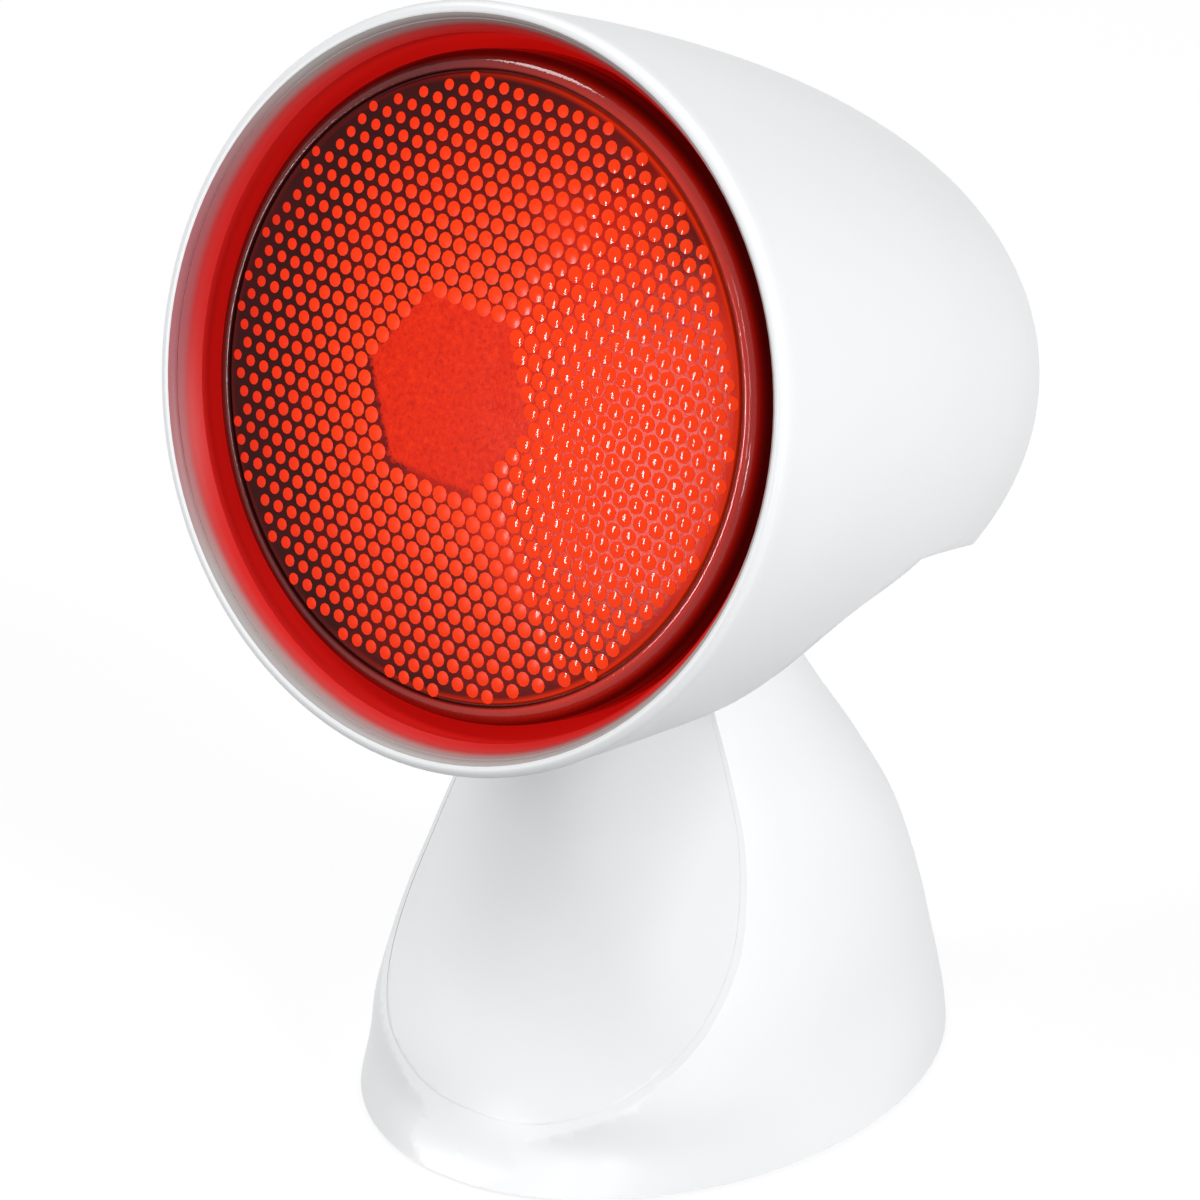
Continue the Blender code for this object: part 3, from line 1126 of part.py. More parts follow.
def make_filament_posts():
    """Two wires that hold the filament."""
    posts = []
    for name, side in SIDES:
        start = head_point(side * POST_SPREAD, GLASS_BACK, 0)
        end = head_point(side * POST_SPREAD, GLASS_BACK - POST_LENGTH, 0)
        posts.append(finish(rod(f"filament_post_{name}", start, end, POST_RADIUS, TINY_SEGMENTS), STEEL))
    return posts


def make_bulb_filament():
    """Tungsten wire between the posts."""
    start_back = GLASS_BACK - POST_LENGTH - FILAMENT_RADIUS - CLEARANCE
    reach = POST_SPREAD + POST_RADIUS
    route = []
    for step in range(FILAMENT_STEPS + 1):
        share = 2 * step / FILAMENT_STEPS - 1
        route.append(head_point(reach * share, start_back - FILAMENT_SAG * (1 - share ** 2), 0))
    return finish(wire("bulb_filament", route, FILAMENT_RADIUS, 1), TUNGSTEN)


def make_lampholder_body():
    """Ceramic body of the lampholder."""
    bore = CAP_RADIUS + THREAD_GAP + THREAD_DEPTH / 2 + SCREW_SHELL_WALL + CLEARANCE
    profile = [(HOLDER_FLOOR_BACK, 0.0), (HOLDER_FLOOR_BACK, bore), (HOLDER_FRONT, bore),
               (HOLDER_FRONT, HOLDER_RADIUS - HOLDER_EDGE), (HOLDER_FRONT + HOLDER_EDGE, HOLDER_RADIUS),
               (HOLDER_BACK, HOLDER_RADIUS), (HOLDER_BACK, 0.0)]
    holder = turned("lampholder_body", profile, SHADE_SEGMENTS // 2, looped=False)
    for _, side in SIDES:
        place = head_point(side * BRACKET_SCREW_X, HOLDER_BACK, 0)
        cut(holder, screw_hole(place, (0, -1, 0), HOLDER_FLOOR_WALL - CLEARANCE * 3))
    return finish(holder, CERAMIC)


def make_screw_shell():
    """Threaded metal sleeve that takes the bulb's cap."""
    outer = thread_profile(CAP_FRONT + THREAD_PITCH / 2, CAP_RADIUS + THREAD_GAP + SCREW_SHELL_WALL)
    inner = [(back, radius - SCREW_SHELL_WALL) for back, radius in outer]
    return finish(turned("screw_shell", inner[::-1] + outer, SMALL_SEGMENTS), BRASS)


def make_centre_contact():
    """Bent contact strip on the holder's floor."""
    foot = HOLDER_FLOOR_BACK - CLEARANCE
    tip = CONTACT_BACK + CLEARANCE
    wall = CONTACT_STRIP_WALL
    start, knee, top, end = (share * CONTACT_STRIP_REACH for share in CONTACT_STRIP_SHARES)
    outline = [(foot, start), (foot, knee), (tip + wall, top), (tip + wall, end),
               (tip, end), (tip, top - wall / 2), (foot - wall, knee - wall / 2), (foot - wall, start)]
    strip = extruded("centre_contact", [head_point(0, back, up)[1:] for back, up in outline], CONTACT_STRIP_HALF_WIDTH)
    return finish(strip, BRASS)


def make_lampholder_bracket():
    """Disc behind the lampholder that closes the liner."""
    start, radius = HOLDER_BACK + CLEARANCE, HOLDER_RADIUS + BRACKET_MARGIN
    profile = [(start, BRACKET_HOLE_RADIUS), (start, radius), (BRACKET_BACK, radius), (BRACKET_BACK, BRACKET_HOLE_RADIUS)]
    bracket = turned("lampholder_bracket", profile, SHADE_SEGMENTS // 2)
    for _, side in SIDES:
        cut(bracket, screw_hole(head_point(side * BRACKET_SCREW_X, BRACKET_BACK, 0), (0, -1, 0)))
    return finish(bracket, STEEL)


def make_holder_screws():
    """Two screws through the bracket into the lampholder."""
    seat = BRACKET_BACK + CLEARANCE
    length = seat - HOLDER_FLOOR_BACK - CLEARANCE * 4
    return [screw(f"holder_screw_{name}", head_point(side * BRACKET_SCREW_X, seat, 0), (0, -1, 0), length)
            for name, side in SIDES]


def make_head_leads():
    """Leads from the tilt axis along the liner's floor to the lampholder."""
    lift = LEAD_RADIUS * 1.5 + CLEARANCE
    first, last = SLOT_HALF_DEPTH * 2, HOLDER_BACK - SCREW_LENGTH - PIVOT_BACK
    leads = []
    for name, side in SIDES:
        x = side * LEAD_SPREAD
        entry = liner_floor_z(0, 0, LINER_WALL)
        places = [(x, 0, LEAD_END_GAP), (x, 0, entry / 2), (x, 0, entry)]
        for step in range(LEAD_FLOOR_STEPS + 1):
            y = first + (last - first) * step / LEAD_FLOOR_STEPS
            places.append((x, y, liner_floor_z(y, x, LINER_WALL) + lift))
        leads.append(lead(f"head_lead_{name}", places))
    return leads


# Assembly

def main():
    """Build every piece and place it on its frame."""
    for old in list(bpy.data.objects):
        bpy.data.objects.remove(old, do_unlink=True)
    foot = [make_base_shell(), make_front_panel(), make_base_plate(), *make_base_screws(), *make_foot_pads(),
            make_counterweight(), make_weight_screw(), make_hinge_fork(), *make_fork_screws(), *make_pivot_bolts(),
            *make_friction_washers(), make_detent_spring(), make_switch_housing(), *make_switch_terminals(),
            make_cord_gland(), make_gland_nut(), make_terminal_block(), *make_terminal_screws(), *make_base_leads()]
    head = [make_shade_shell(), make_shade_liner(), make_underside_cover(), *make_cover_screws(),
            make_hinge_knuckle(), *make_saddle_screws(), make_lampholder_bracket(), *make_holder_screws(),
            make_lampholder_body(), make_screw_shell(), make_centre_contact(), *make_head_leads(),
            make_bulb_lens(), make_bulb_reflector(), make_bulb_collar(), make_bulb_cap(), make_cap_insulator(),
            make_cap_contact(), make_bulb_stem(), *make_filament_posts(), make_bulb_filament()]
    rocker_y = POCKET_FLOOR_Y - ROCKER_INSET - FOOT_SETBACK
    frames = (
        ("foot_frame", (0, -FOOT_SETBACK, STANDOFF), 0.0, foot),
        ("head_frame", (0, -FOOT_SETBACK, PIVOT_Z + STANDOFF), -HEAD_PITCH, head),
        ("rocker_frame", (0, rocker_y, SWITCH_Z + STANDOFF), ROCKER_TILT, [make_switch_rocker()]),
    )
    for name, place, turn, pieces in frames:
        frame = bpy.data.objects.new(name, None)
        frame.location = place
        frame.rotation_euler = (turn, 0, 0)
        bpy.context.scene.collection.objects.link(frame)
        for piece in pieces:
            piece.parent = frame


main()
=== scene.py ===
"""Dressed model of the infrared heat therapy lamp: a dome head with a ruby pressed-glass bulb on a bell-shaped foot.

Metres, +Z up, the lamp faces -Y. Head pieces are modelled about the head's own axis: x across, y downwards and
z backwards from the rim plane, and are then set into the head's place.
"""

import logging
import math
from dataclasses import dataclass
from enum import Enum
from typing import Callable, Sequence

import bmesh
import bpy
from mathutils import Euler, Matrix, Vector


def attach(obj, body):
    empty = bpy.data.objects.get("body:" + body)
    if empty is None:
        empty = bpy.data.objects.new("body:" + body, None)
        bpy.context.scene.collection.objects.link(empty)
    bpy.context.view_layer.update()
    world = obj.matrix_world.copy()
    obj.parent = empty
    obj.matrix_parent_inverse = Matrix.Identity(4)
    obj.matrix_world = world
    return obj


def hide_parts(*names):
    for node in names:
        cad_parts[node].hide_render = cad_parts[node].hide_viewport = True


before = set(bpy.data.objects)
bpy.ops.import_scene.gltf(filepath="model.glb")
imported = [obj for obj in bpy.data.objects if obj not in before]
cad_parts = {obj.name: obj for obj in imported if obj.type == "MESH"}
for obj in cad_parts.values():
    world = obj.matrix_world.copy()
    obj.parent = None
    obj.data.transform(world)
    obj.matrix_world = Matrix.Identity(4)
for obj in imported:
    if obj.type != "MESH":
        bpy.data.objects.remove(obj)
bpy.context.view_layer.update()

LOG = logging.getLogger("heat_lamp")
MM = 0.001
HEAD_PITCH = math.radians(16.8)
RIM_CENTRE = Vector((0.0, -65.9 * MM, 159.9 * MM))
HEAD_TURN = Euler((-math.pi / 2 - HEAD_PITCH, 0.0, 0.0))
HEAD_PLACE = Matrix.Translation(RIM_CENTRE) @ HEAD_TURN.to_matrix().to_4x4()
FOOT_PLACE = Matrix.Translation(Vector((0.0, -7.9 * MM, 0.8 * MM)))
Colour = tuple[float, float, float]
Shape = Callable[[Vector], Vector]
SQUARE = ((-1, -1), (1, -1), (1, 1), (-1, 1))


class Body(Enum):
    """Moving bodies of the lamp."""

    FOOT = "foot"
    HEAD = "head"
    ROCKER = "rocker"


class Texture(Enum):
    """Surface marks that a finish can carry."""

    GRAIN = "fine moulded grain"
    BRUSHED = "straight drawing marks"
    TURNED = "rings from the lathe"
    BRAID = "woven sleeve"
    CLOUDY = "soft mottling"


class Joining(Enum):
    """Ways of combining two closed meshes."""

    CUT = "DIFFERENCE"
    FUSE = "UNION"
    KEEP = "INTERSECT"


# Materials

class Shading:
    """Node tree of one material, with short calls for the nodes that it is made of."""

    def __init__(self, name: str) -> None:
        """Start a material with its shader and object coordinates.

        Args:
            name: name of the material.
        """
        self.material = bpy.data.materials.new(name)
        self.material.use_nodes = True
        self.tree = self.material.node_tree
        self.shader = self.tree.nodes["Principled BSDF"]
        self.place = self.tree.nodes.new("ShaderNodeTexCoord").outputs["Object"]

    def node(self, kind: str, **inputs: object) -> bpy.types.Node:
        """Add a node.

        Args:
            kind: node type without its ShaderNode prefix.
            inputs: values or sockets by input name, or by index as "_0", "_1".

        Returns:
            The new node.
        """
        made = self.tree.nodes.new("ShaderNode" + kind)
        for key, value in inputs.items():
            socket = made.inputs[int(key[1:]) if key[0] == "_" else key]
            if isinstance(value, bpy.types.NodeSocket):
                self.tree.links.new(value, socket)
            else:
                socket.default_value = value
        return made

    def local(self, rotation: Sequence[float], location: Sequence[float],
              scale: Sequence[float] = (1.0, 1.0, 1.0)) -> bpy.types.NodeSocket:
        """Coordinates about a place on the piece.

        Args:
            rotation: turn of the place's frame.
            location: origin of the place's frame.
            scale: length of one unit along each axis.

        Returns:
            The vector socket.
        """
        made = self.node("Mapping", Vector=self.place, Location=location, Rotation=rotation, Scale=scale)
        made.vector_type = "TEXTURE"
        return made.outputs["Vector"]

    def noise(self, scale: float, detail: float = 3.0, vector: bpy.types.NodeSocket | None = None,
              roughness: float = 0.5) -> bpy.types.NodeSocket:
        """Value noise between 0 and 1."""
        made = self.node("TexNoise", Vector=vector or self.place, Scale=scale, Detail=detail, Roughness=roughness)
        return made.outputs["Fac"]

    def calc(self, operation: str, *values: object) -> bpy.types.NodeSocket:
        """Arithmetic on one to three values."""
        made = self.node("Math", **{f"_{index}": value for index, value in enumerate(values)})
        made.operation = operation
        return made.outputs["Value"]

    def spread(self, value: bpy.types.NodeSocket, low: float, high: float, start: float = 0.0,
               end: float = 1.0) -> bpy.types.NodeSocket:
        """Map a value from low..high to start..end, held at the ends."""
        return self.node("MapRange", _0=value, _1=low, _2=high, _3=start, _4=end).outputs[0]

    def ramp(self, value: bpy.types.NodeSocket, stops: Sequence[tuple[float, Colour]],
             smooth: bool = True) -> bpy.types.NodeSocket:
        """Colour along a value.

        Args:
            value: socket that runs from 0 to 1.
            stops: (place, colour) pairs in order.
            smooth: whether the colours ease into each other.

        Returns:
            The colour socket.
        """
        made = self.node("ValToRGB", Fac=value)
        band = made.color_ramp
        band.interpolation = "EASE" if smooth else "LINEAR"
        while len(band.elements) < len(stops):
            band.elements.new(0.5)
        for element, (place, colour) in zip(band.elements, stops):
            element.position = place
            element.color = (*colour, 1.0)
        return made.outputs["Color"]

    def mix(self, share: object, first: object, second: object) -> bpy.types.NodeSocket:
        """Blend two colours by a share."""
        made = self.tree.nodes.new("ShaderNodeMix")
        made.data_type = "RGBA"
        for socket, value in ((made.inputs[0], share), (made.inputs[6], first), (made.inputs[7], second)):
            if isinstance(value, bpy.types.NodeSocket):
                self.tree.links.new(value, socket)
            else:
                socket.default_value = (*value, 1.0) if isinstance(value, tuple) else value
        return made.outputs[2]

    def bump(self, height: bpy.types.NodeSocket, depth: float, strength: float = 1.0) -> None:
        """Raise the surface by a height map of the given depth in metres."""
        made = self.node("Bump", Height=height, Distance=depth, Strength=strength)
        self.tree.links.new(made.outputs["Normal"], self.shader.inputs["Normal"])

    def feed(self, **inputs: object) -> None:
        """Set or link the shader's own inputs, with spaces written as underscores."""
        for key, value in inputs.items():
            socket = self.shader.inputs[key.replace("_", " ")]
            if isinstance(value, bpy.types.NodeSocket):
                self.tree.links.new(value, socket)
            else:
                socket.default_value = (*value, 1.0) if isinstance(value, tuple) and len(value) == 3 else value


@dataclass(frozen=True)
class Surface:
    """A named finish that builds its material once."""

    name: str

    def material(self) -> bpy.types.Material:
        """Build the material, or return the one built before.

        Returns:
            The material.
        """
        known = bpy.data.materials.get(self.name)
        if known:
            return known
        shading = Shading(self.name)
        self.shade(shading)
        return shading.material

    def shade(self, shading: Shading) -> None:
        """Fill the node tree; each kind of finish has its own."""
        raise NotImplementedError


@dataclass(frozen=True)
class Finish(Surface):
    """A plain finish: colour with slight variation, roughness that varies, and a surface texture."""

    colour: Colour = (0.5, 0.5, 0.5)
    roughness: float = 0.35
    metallic: float = 0.0
    texture: Texture = Texture.GRAIN
    texture_size: float = 0.7 * MM
    texture_depth: float = 0.02 * MM
    variation: float = 0.03
    coat: float = 0.0
    ior: float = 1.5

    def shade(self, shading: Shading) -> None:
        """Fill the node tree of a plain finish.

        Args:
            shading: node tree of the material.
        """
        cloud = shading.noise(22.0, 4.0)
        dust = shading.noise(0.35 / self.texture_size, 3.0, roughness=0.7)
        darker = tuple(channel * (1 - self.variation) for channel in self.colour)
        lighter = tuple(min(1.0, channel * (1 + self.variation / 2)) for channel in self.colour)
        tone = shading.ramp(cloud, ((0.3, darker), (0.7, lighter)))
        tone = shading.mix(shading.spread(dust, 0.62, 0.8, 0.0, 0.5), tone,
                           tuple(channel * (1 - self.variation * 2) for channel in self.colour))
        shading.feed(Base_Color=tone, Metallic=self.metallic, IOR=self.ior, Coat_Weight=self.coat,
                     Roughness=shading.spread(dust, 0.3, 0.7, self.roughness * 0.88, self.roughness * 1.12))
        shading.bump(self.marks(shading), self.texture_depth)

    def marks(self, shading: Shading) -> bpy.types.NodeSocket:
        """Height map of the finish's texture.

        Args:
            shading: node tree of the material.

        Returns:
            A height between 0 and 1.
        """
        size = 1 / self.texture_size
        if self.texture is Texture.BRUSHED:
            lines = shading.local((0, 0, 0), (0, 0, 0), (self.texture_size, self.texture_size, self.texture_size * 40))
            return shading.noise(1.0, 2.0, lines)
        if self.texture is Texture.TURNED:
            wave = shading.node("TexWave", Vector=shading.place, Scale=size, Distortion=0.6, Detail=1.0)
            wave.wave_type, wave.rings_direction = "RINGS", "SPHERICAL"
            return wave.outputs["Fac"]
        if self.texture is Texture.BRAID:
            first = shading.node("TexWave", Vector=shading.local((0.8, 0.6, 0.8), (0, 0, 0)), Scale=size)
            second = shading.node("TexWave", Vector=shading.local((-0.8, 0.6, -0.8), (0, 0, 0)), Scale=size)
            return shading.calc("MULTIPLY", first.outputs["Fac"], second.outputs["Fac"])
        if self.texture is Texture.CLOUDY:
            return shading.noise(size * 0.2, 2.0)
        return shading.noise(size, 2.0, roughness=0.6)


def head_coordinates(shading: Shading) -> bpy.types.NodeSocket:
    """Coordinates about the head's axis: x across, y downwards, z behind the rim plane."""
    return shading.local(tuple(HEAD_TURN), tuple(RIM_CENTRE))


def axis_distance(shading: Shading, parts: bpy.types.Node) -> bpy.types.NodeSocket:
    """Distance from the head's axis, from separated coordinates about it."""
    flat = shading.node("CombineXYZ", _0=parts.outputs[0], _1=parts.outputs[1])
    length = shading.node("VectorMath", _0=flat.outputs[0])
    length.operation = "LENGTH"
    return length.outputs["Value"]


def lens_polish(shading: Shading, parts: bpy.types.Node, clear: float) -> bpy.types.NodeSocket:
    """Roughness of the pressed glass: clear towards the right, hazier from heat towards the left.

    Args:
        shading: node tree of the material.
        parts: separated coordinates about the head's axis.
        clear: roughness of the clear side.

    Returns:
        The roughness socket.
    """
    offset = shading.calc("ABSOLUTE", shading.calc("ADD", parts.outputs[1], 4.0 * MM))
    side = shading.calc("SUBTRACT", parts.outputs[0], shading.calc("MULTIPLY", offset, 0.42))
    side = shading.calc("ADD", side, shading.spread(shading.noise(90.0, 2.0), 0.3, 0.7, -3.0 * MM, 3.0 * MM))
    return shading.spread(side, 0.0, 7.0 * MM, 0.34, clear)


@dataclass(frozen=True)
class LensFinish(Surface):
    """Ruby glass of the lens: stippled hexagon in the middle, ground between the lenslets with a painted pool of light
    on its right, and a clear shoulder with painted light on its right and painted shade on its left.
    """

    name: str = "ruby_lens"
    hexagon: float = 15.6 * MM
    turn: float = math.radians(4.0)
    field_radius: float = 55.9 * MM
    centre: tuple[float, float] = (-4.2 * MM, 1.0 * MM)
    specular: float = 0.11

    def shade(self, shading: Shading) -> None:
        """Fill the node tree of the lens.

        Args:
            shading: node tree of the material.
        """
        local = head_coordinates(shading)
        parts = shading.node("SeparateXYZ", Vector=local)
        across = shading.calc("SUBTRACT", parts.outputs[0], self.centre[0])
        down = shading.calc("SUBTRACT", parts.outputs[1], self.centre[1])
        x = shading.calc("ABSOLUTE", shading.calc("SUBTRACT", shading.calc("MULTIPLY", across, math.cos(self.turn)),
                                                  shading.calc("MULTIPLY", down, -math.sin(self.turn))))
        y = shading.calc("ABSOLUTE", shading.calc("SUBTRACT", shading.calc("MULTIPLY", down, math.cos(self.turn)),
                                                  shading.calc("MULTIPLY", across, math.sin(self.turn))))
        slanted = shading.calc("ADD", shading.calc("MULTIPLY", x, math.cos(math.pi / 6)),
                               shading.calc("MULTIPLY", y, 0.5))
        hexagon = shading.calc("MAXIMUM", slanted, y)
        radius = axis_distance(shading, parts)
        speckle = shading.noise(900.0, 2.0, roughness=0.8)
        stipple = shading.ramp(speckle, ((0.32, (0.56, 0.010, 0.001)), (0.5, (0.68, 0.017, 0.001)),
                                         (0.7, (0.77, 0.026, 0.001))))
        # Painted light: the ground glass is bright orange near a point right of the axis and fades to dark towards the
        # left.
        painted_light_distance = shading.node("VectorMath", _0=local, _1=(35.0 * MM, 2.0 * MM, 4.0 * MM))
        painted_light_distance.operation = "DISTANCE"
        side = shading.spread(painted_light_distance.outputs["Value"], 80.0 * MM, 16.0 * MM)
        painted_light_share = shading.calc("ADD", side, shading.spread(shading.noise(60.0, 2.0), 0.3, 0.7, -0.16, 0.16))
        ground = shading.ramp(painted_light_share, ((0.0, (0.028, 0.001, 0.001)), (0.45, (0.12, 0.002, 0.001)),
                                      (0.75, (0.45, 0.009, 0.001)), (1.0, (0.66, 0.018, 0.001))))
        edge = shading.calc("ADD", hexagon, shading.spread(speckle, 0.3, 0.7, -0.7 * MM, 0.7 * MM))
        outside = shading.spread(edge, self.hexagon + 0.5 * MM, self.hexagon + 1.5 * MM)
        field_tone = shading.mix(outside, stipple, ground)
        # Painted light and shade on the shoulder: a bright band on the right, dark on the left, with painted shade in
        # the groove and at the outer edge.
        ring = shading.spread(radius, 55.0 * MM, 61.0 * MM)
        bright = shading.ramp(ring, ((0.0, (0.46, 0.012, 0.001)), (0.25, (0.60, 0.020, 0.001)),
                                     (0.37, (0.05, 0.001, 0.001)), (0.5, (0.50, 0.012, 0.001)),
                                     (0.75, (0.34, 0.005, 0.001)), (1.0, (0.02, 0.001, 0.001))))
        deep = shading.ramp(ring, ((0.0, (0.05, 0.001, 0.001)), (0.3, (0.08, 0.001, 0.001)),
                                   (0.37, (0.02, 0.001, 0.001)), (0.5, (0.10, 0.002, 0.001)),
                                   (0.8, (0.05, 0.001, 0.001)), (1.0, (0.02, 0.001, 0.001))))
        shoulder = shading.mix(shading.spread(parts.outputs[0], -25.0 * MM, 30.0 * MM), deep, bright)
        tone = shading.mix(shading.spread(radius, self.field_radius - 0.4 * MM, self.field_radius + 0.4 * MM),
                           field_tone, shoulder)
        shading.feed(Base_Color=tone, Emission_Color=tone, Emission_Strength=0.23, IOR=1.42,
                     Specular_IOR_Level=self.specular, Roughness=shading.calc(
                         "MULTIPLY", lens_polish(shading, parts, 0.20),
                         shading.spread(radius, 57.4 * MM, 57.8 * MM, 1.0, 0.2)))
        shading.bump(speckle, 0.06 * MM, 0.5)


@dataclass(frozen=True)
class LensletFinish(Surface):
    """Ruby glass of the lenslets: bright crowns with painted shade that darkens them towards the lens's left and upper
    edge.
    """

    name: str = "ruby_lenslets"

    def shade(self, shading: Shading) -> None:
        """Fill the node tree of the lenslets.

        Args:
            shading: node tree of the material.
        """
        parts = shading.node("SeparateXYZ", Vector=head_coordinates(shading))
        # Painted shade: the crowns' colour darkens towards the lens's left and outer edge.
        lean = shading.calc("MULTIPLY", parts.outputs[0], -0.45)
        leaning = shading.calc("ADD", axis_distance(shading, parts), lean)
        share = shading.spread(leaning, 0.03, 0.083)
        share = shading.calc("ADD", share, shading.spread(shading.noise(120.0, 2.0), 0.3, 0.7, -0.1, 0.1))
        tone = shading.ramp(share, ((0.0, (0.80, 0.036, 0.001)), (0.35, (0.78, 0.031, 0.001)),
                                    (0.7, (0.74, 0.024, 0.001)), (1.0, (0.64, 0.016, 0.001))))
        shading.feed(Base_Color=tone, Emission_Color=tone, Emission_Strength=0.30, IOR=1.42, Specular_IOR_Level=0.17,
                     Roughness=lens_polish(shading, parts, 0.045))
        shading.bump(shading.noise(700.0, 2.0), 0.05 * MM, 0.5)


@dataclass(frozen=True)
class GlowFinish(Surface):
    """Inside of the head: satin grey at the lip, partly the liner's own colour and partly painted shade on the dome's
    white inner faces, that turns into the bulb's red glow painted further in, in the colour and as emission.
    """

    name: str = "glowing_inside"
    colour: Colour = (0.40, 0.385, 0.375)
    glow: Colour = (0.56, 0.012, 0.010)
    start: float = 1.0 * MM
    end: float = 9.5 * MM

    def shade(self, shading: Shading) -> None:
        """Fill the node tree of the inside.

        Args:
            shading: node tree of the material.
        """
        parts = shading.node("SeparateXYZ", Vector=head_coordinates(shading))
        # Painted light: the bulb's red glow grows with depth in the colour and the emission, and the left side is
        # painted pinker.
        drift = shading.spread(shading.noise(14.0, 2.0), 0.3, 0.7, -0.06, 0.06)
        depth = shading.calc("ADD", shading.spread(parts.outputs[2], self.start, self.end), drift)
        painted_glow_left = shading.spread(parts.outputs[0], -0.048, -0.066)
        satin = shading.mix(shading.calc("MULTIPLY", painted_glow_left, 0.9), self.colour, (0.40, 0.11, 0.13))
        painted_glow_share = shading.ramp(depth, ((0.0, (0, 0, 0)), (0.14, (0.25, 0.25, 0.25)), (0.35, (0.92, 0.92, 0.92)),
                                    (0.5, (1, 1, 1))))
        tone = shading.mix(painted_glow_share, satin, self.glow)
        light = shading.ramp(depth, ((0.2, (0, 0, 0)), (0.5, (0.22, 0.003, 0.003)), (0.95, (0.75, 0.007, 0.005))))
        shading.feed(Base_Color=tone, Emission_Color=light, Emission_Strength=0.42, Roughness=0.42,
                     Specular_IOR_Level=0.22)
        shading.bump(shading.noise(1200.0, 2.0), 0.02 * MM)


class Finishes:
    """The lamp's finishes by name."""

    white = Finish("white_gloss_plastic", (0.83, 0.845, 0.855), 0.33, texture_size=0.45 * MM, texture_depth=0.006 * MM,
                   variation=0.012)
    grey = Finish("grey_grained_plastic", (0.56, 0.58, 0.60), 0.5, texture_size=0.5 * MM, texture_depth=0.03 * MM)
    black = Finish("black_grained_plastic", (0.020, 0.020, 0.021), 0.42, texture_size=0.5 * MM, texture_depth=0.03 * MM)
    print = Finish("pad_print", (0.72, 0.73, 0.74), 0.6, texture_size=0.1 * MM, texture_depth=0.01 * MM)
    rubber = Finish("soft_rubber", (0.035, 0.035, 0.036), 0.82, texture_size=0.8 * MM, texture_depth=0.05 * MM,
                    variation=0.12)
    steel = Finish("plated_steel", (0.56, 0.57, 0.58), 0.32, 1.0, Texture.BRUSHED, 0.25 * MM, 0.006 * MM, 0.08)
    cast = Finish("plain_steel", (0.30, 0.30, 0.31), 0.55, 1.0, Texture.CLOUDY, 1.2 * MM, 0.06 * MM, 0.2)
    aluminium = Finish("spun_aluminium", (0.72, 0.73, 0.74), 0.34, 1.0, Texture.TURNED, 0.5 * MM, 0.005 * MM, 0.05)
    brass = Finish("pale_brass", (0.66, 0.50, 0.24), 0.3, 1.0, Texture.TURNED, 0.4 * MM, 0.004 * MM, 0.08)
    ruby = Finish("ruby_glass", (0.22, 0.004, 0.002), 0.08, texture=Texture.CLOUDY, texture_depth=0.01 * MM,
                  variation=0.2, ior=1.45)
    black_glass = Finish("black_glass", (0.012, 0.012, 0.016), 0.08, texture=Texture.CLOUDY, texture_depth=0.01 * MM)
    clear_glass = Finish("stem_glass", (0.55, 0.58, 0.57), 0.06, texture=Texture.CLOUDY, texture_depth=0.01 * MM)
    ceramic = Finish("glazed_ceramic", (0.80, 0.77, 0.70), 0.16, texture=Texture.CLOUDY, texture_depth=0.03 * MM,
                     coat=0.4)
    tungsten = Finish("drawn_tungsten", (0.20, 0.19, 0.19), 0.45, 1.0, Texture.TURNED, 0.12 * MM, 0.02 * MM)
    sleeve = Finish("braided_sleeve", (0.70, 0.68, 0.62), 0.75, texture=Texture.BRAID, texture_size=0.5 * MM,
                    texture_depth=0.08 * MM, variation=0.08)
    lens = LensFinish()
    shoulder = LensFinish("ruby_shoulder", specular=0.5)
    lenslets = LensletFinish()
    inside = GlowFinish()


# Modelling

@dataclass
class Ring:
    """One ring of a turned piece: its radius and its centre."""

    radius: float
    centre: tuple[float, float, float]


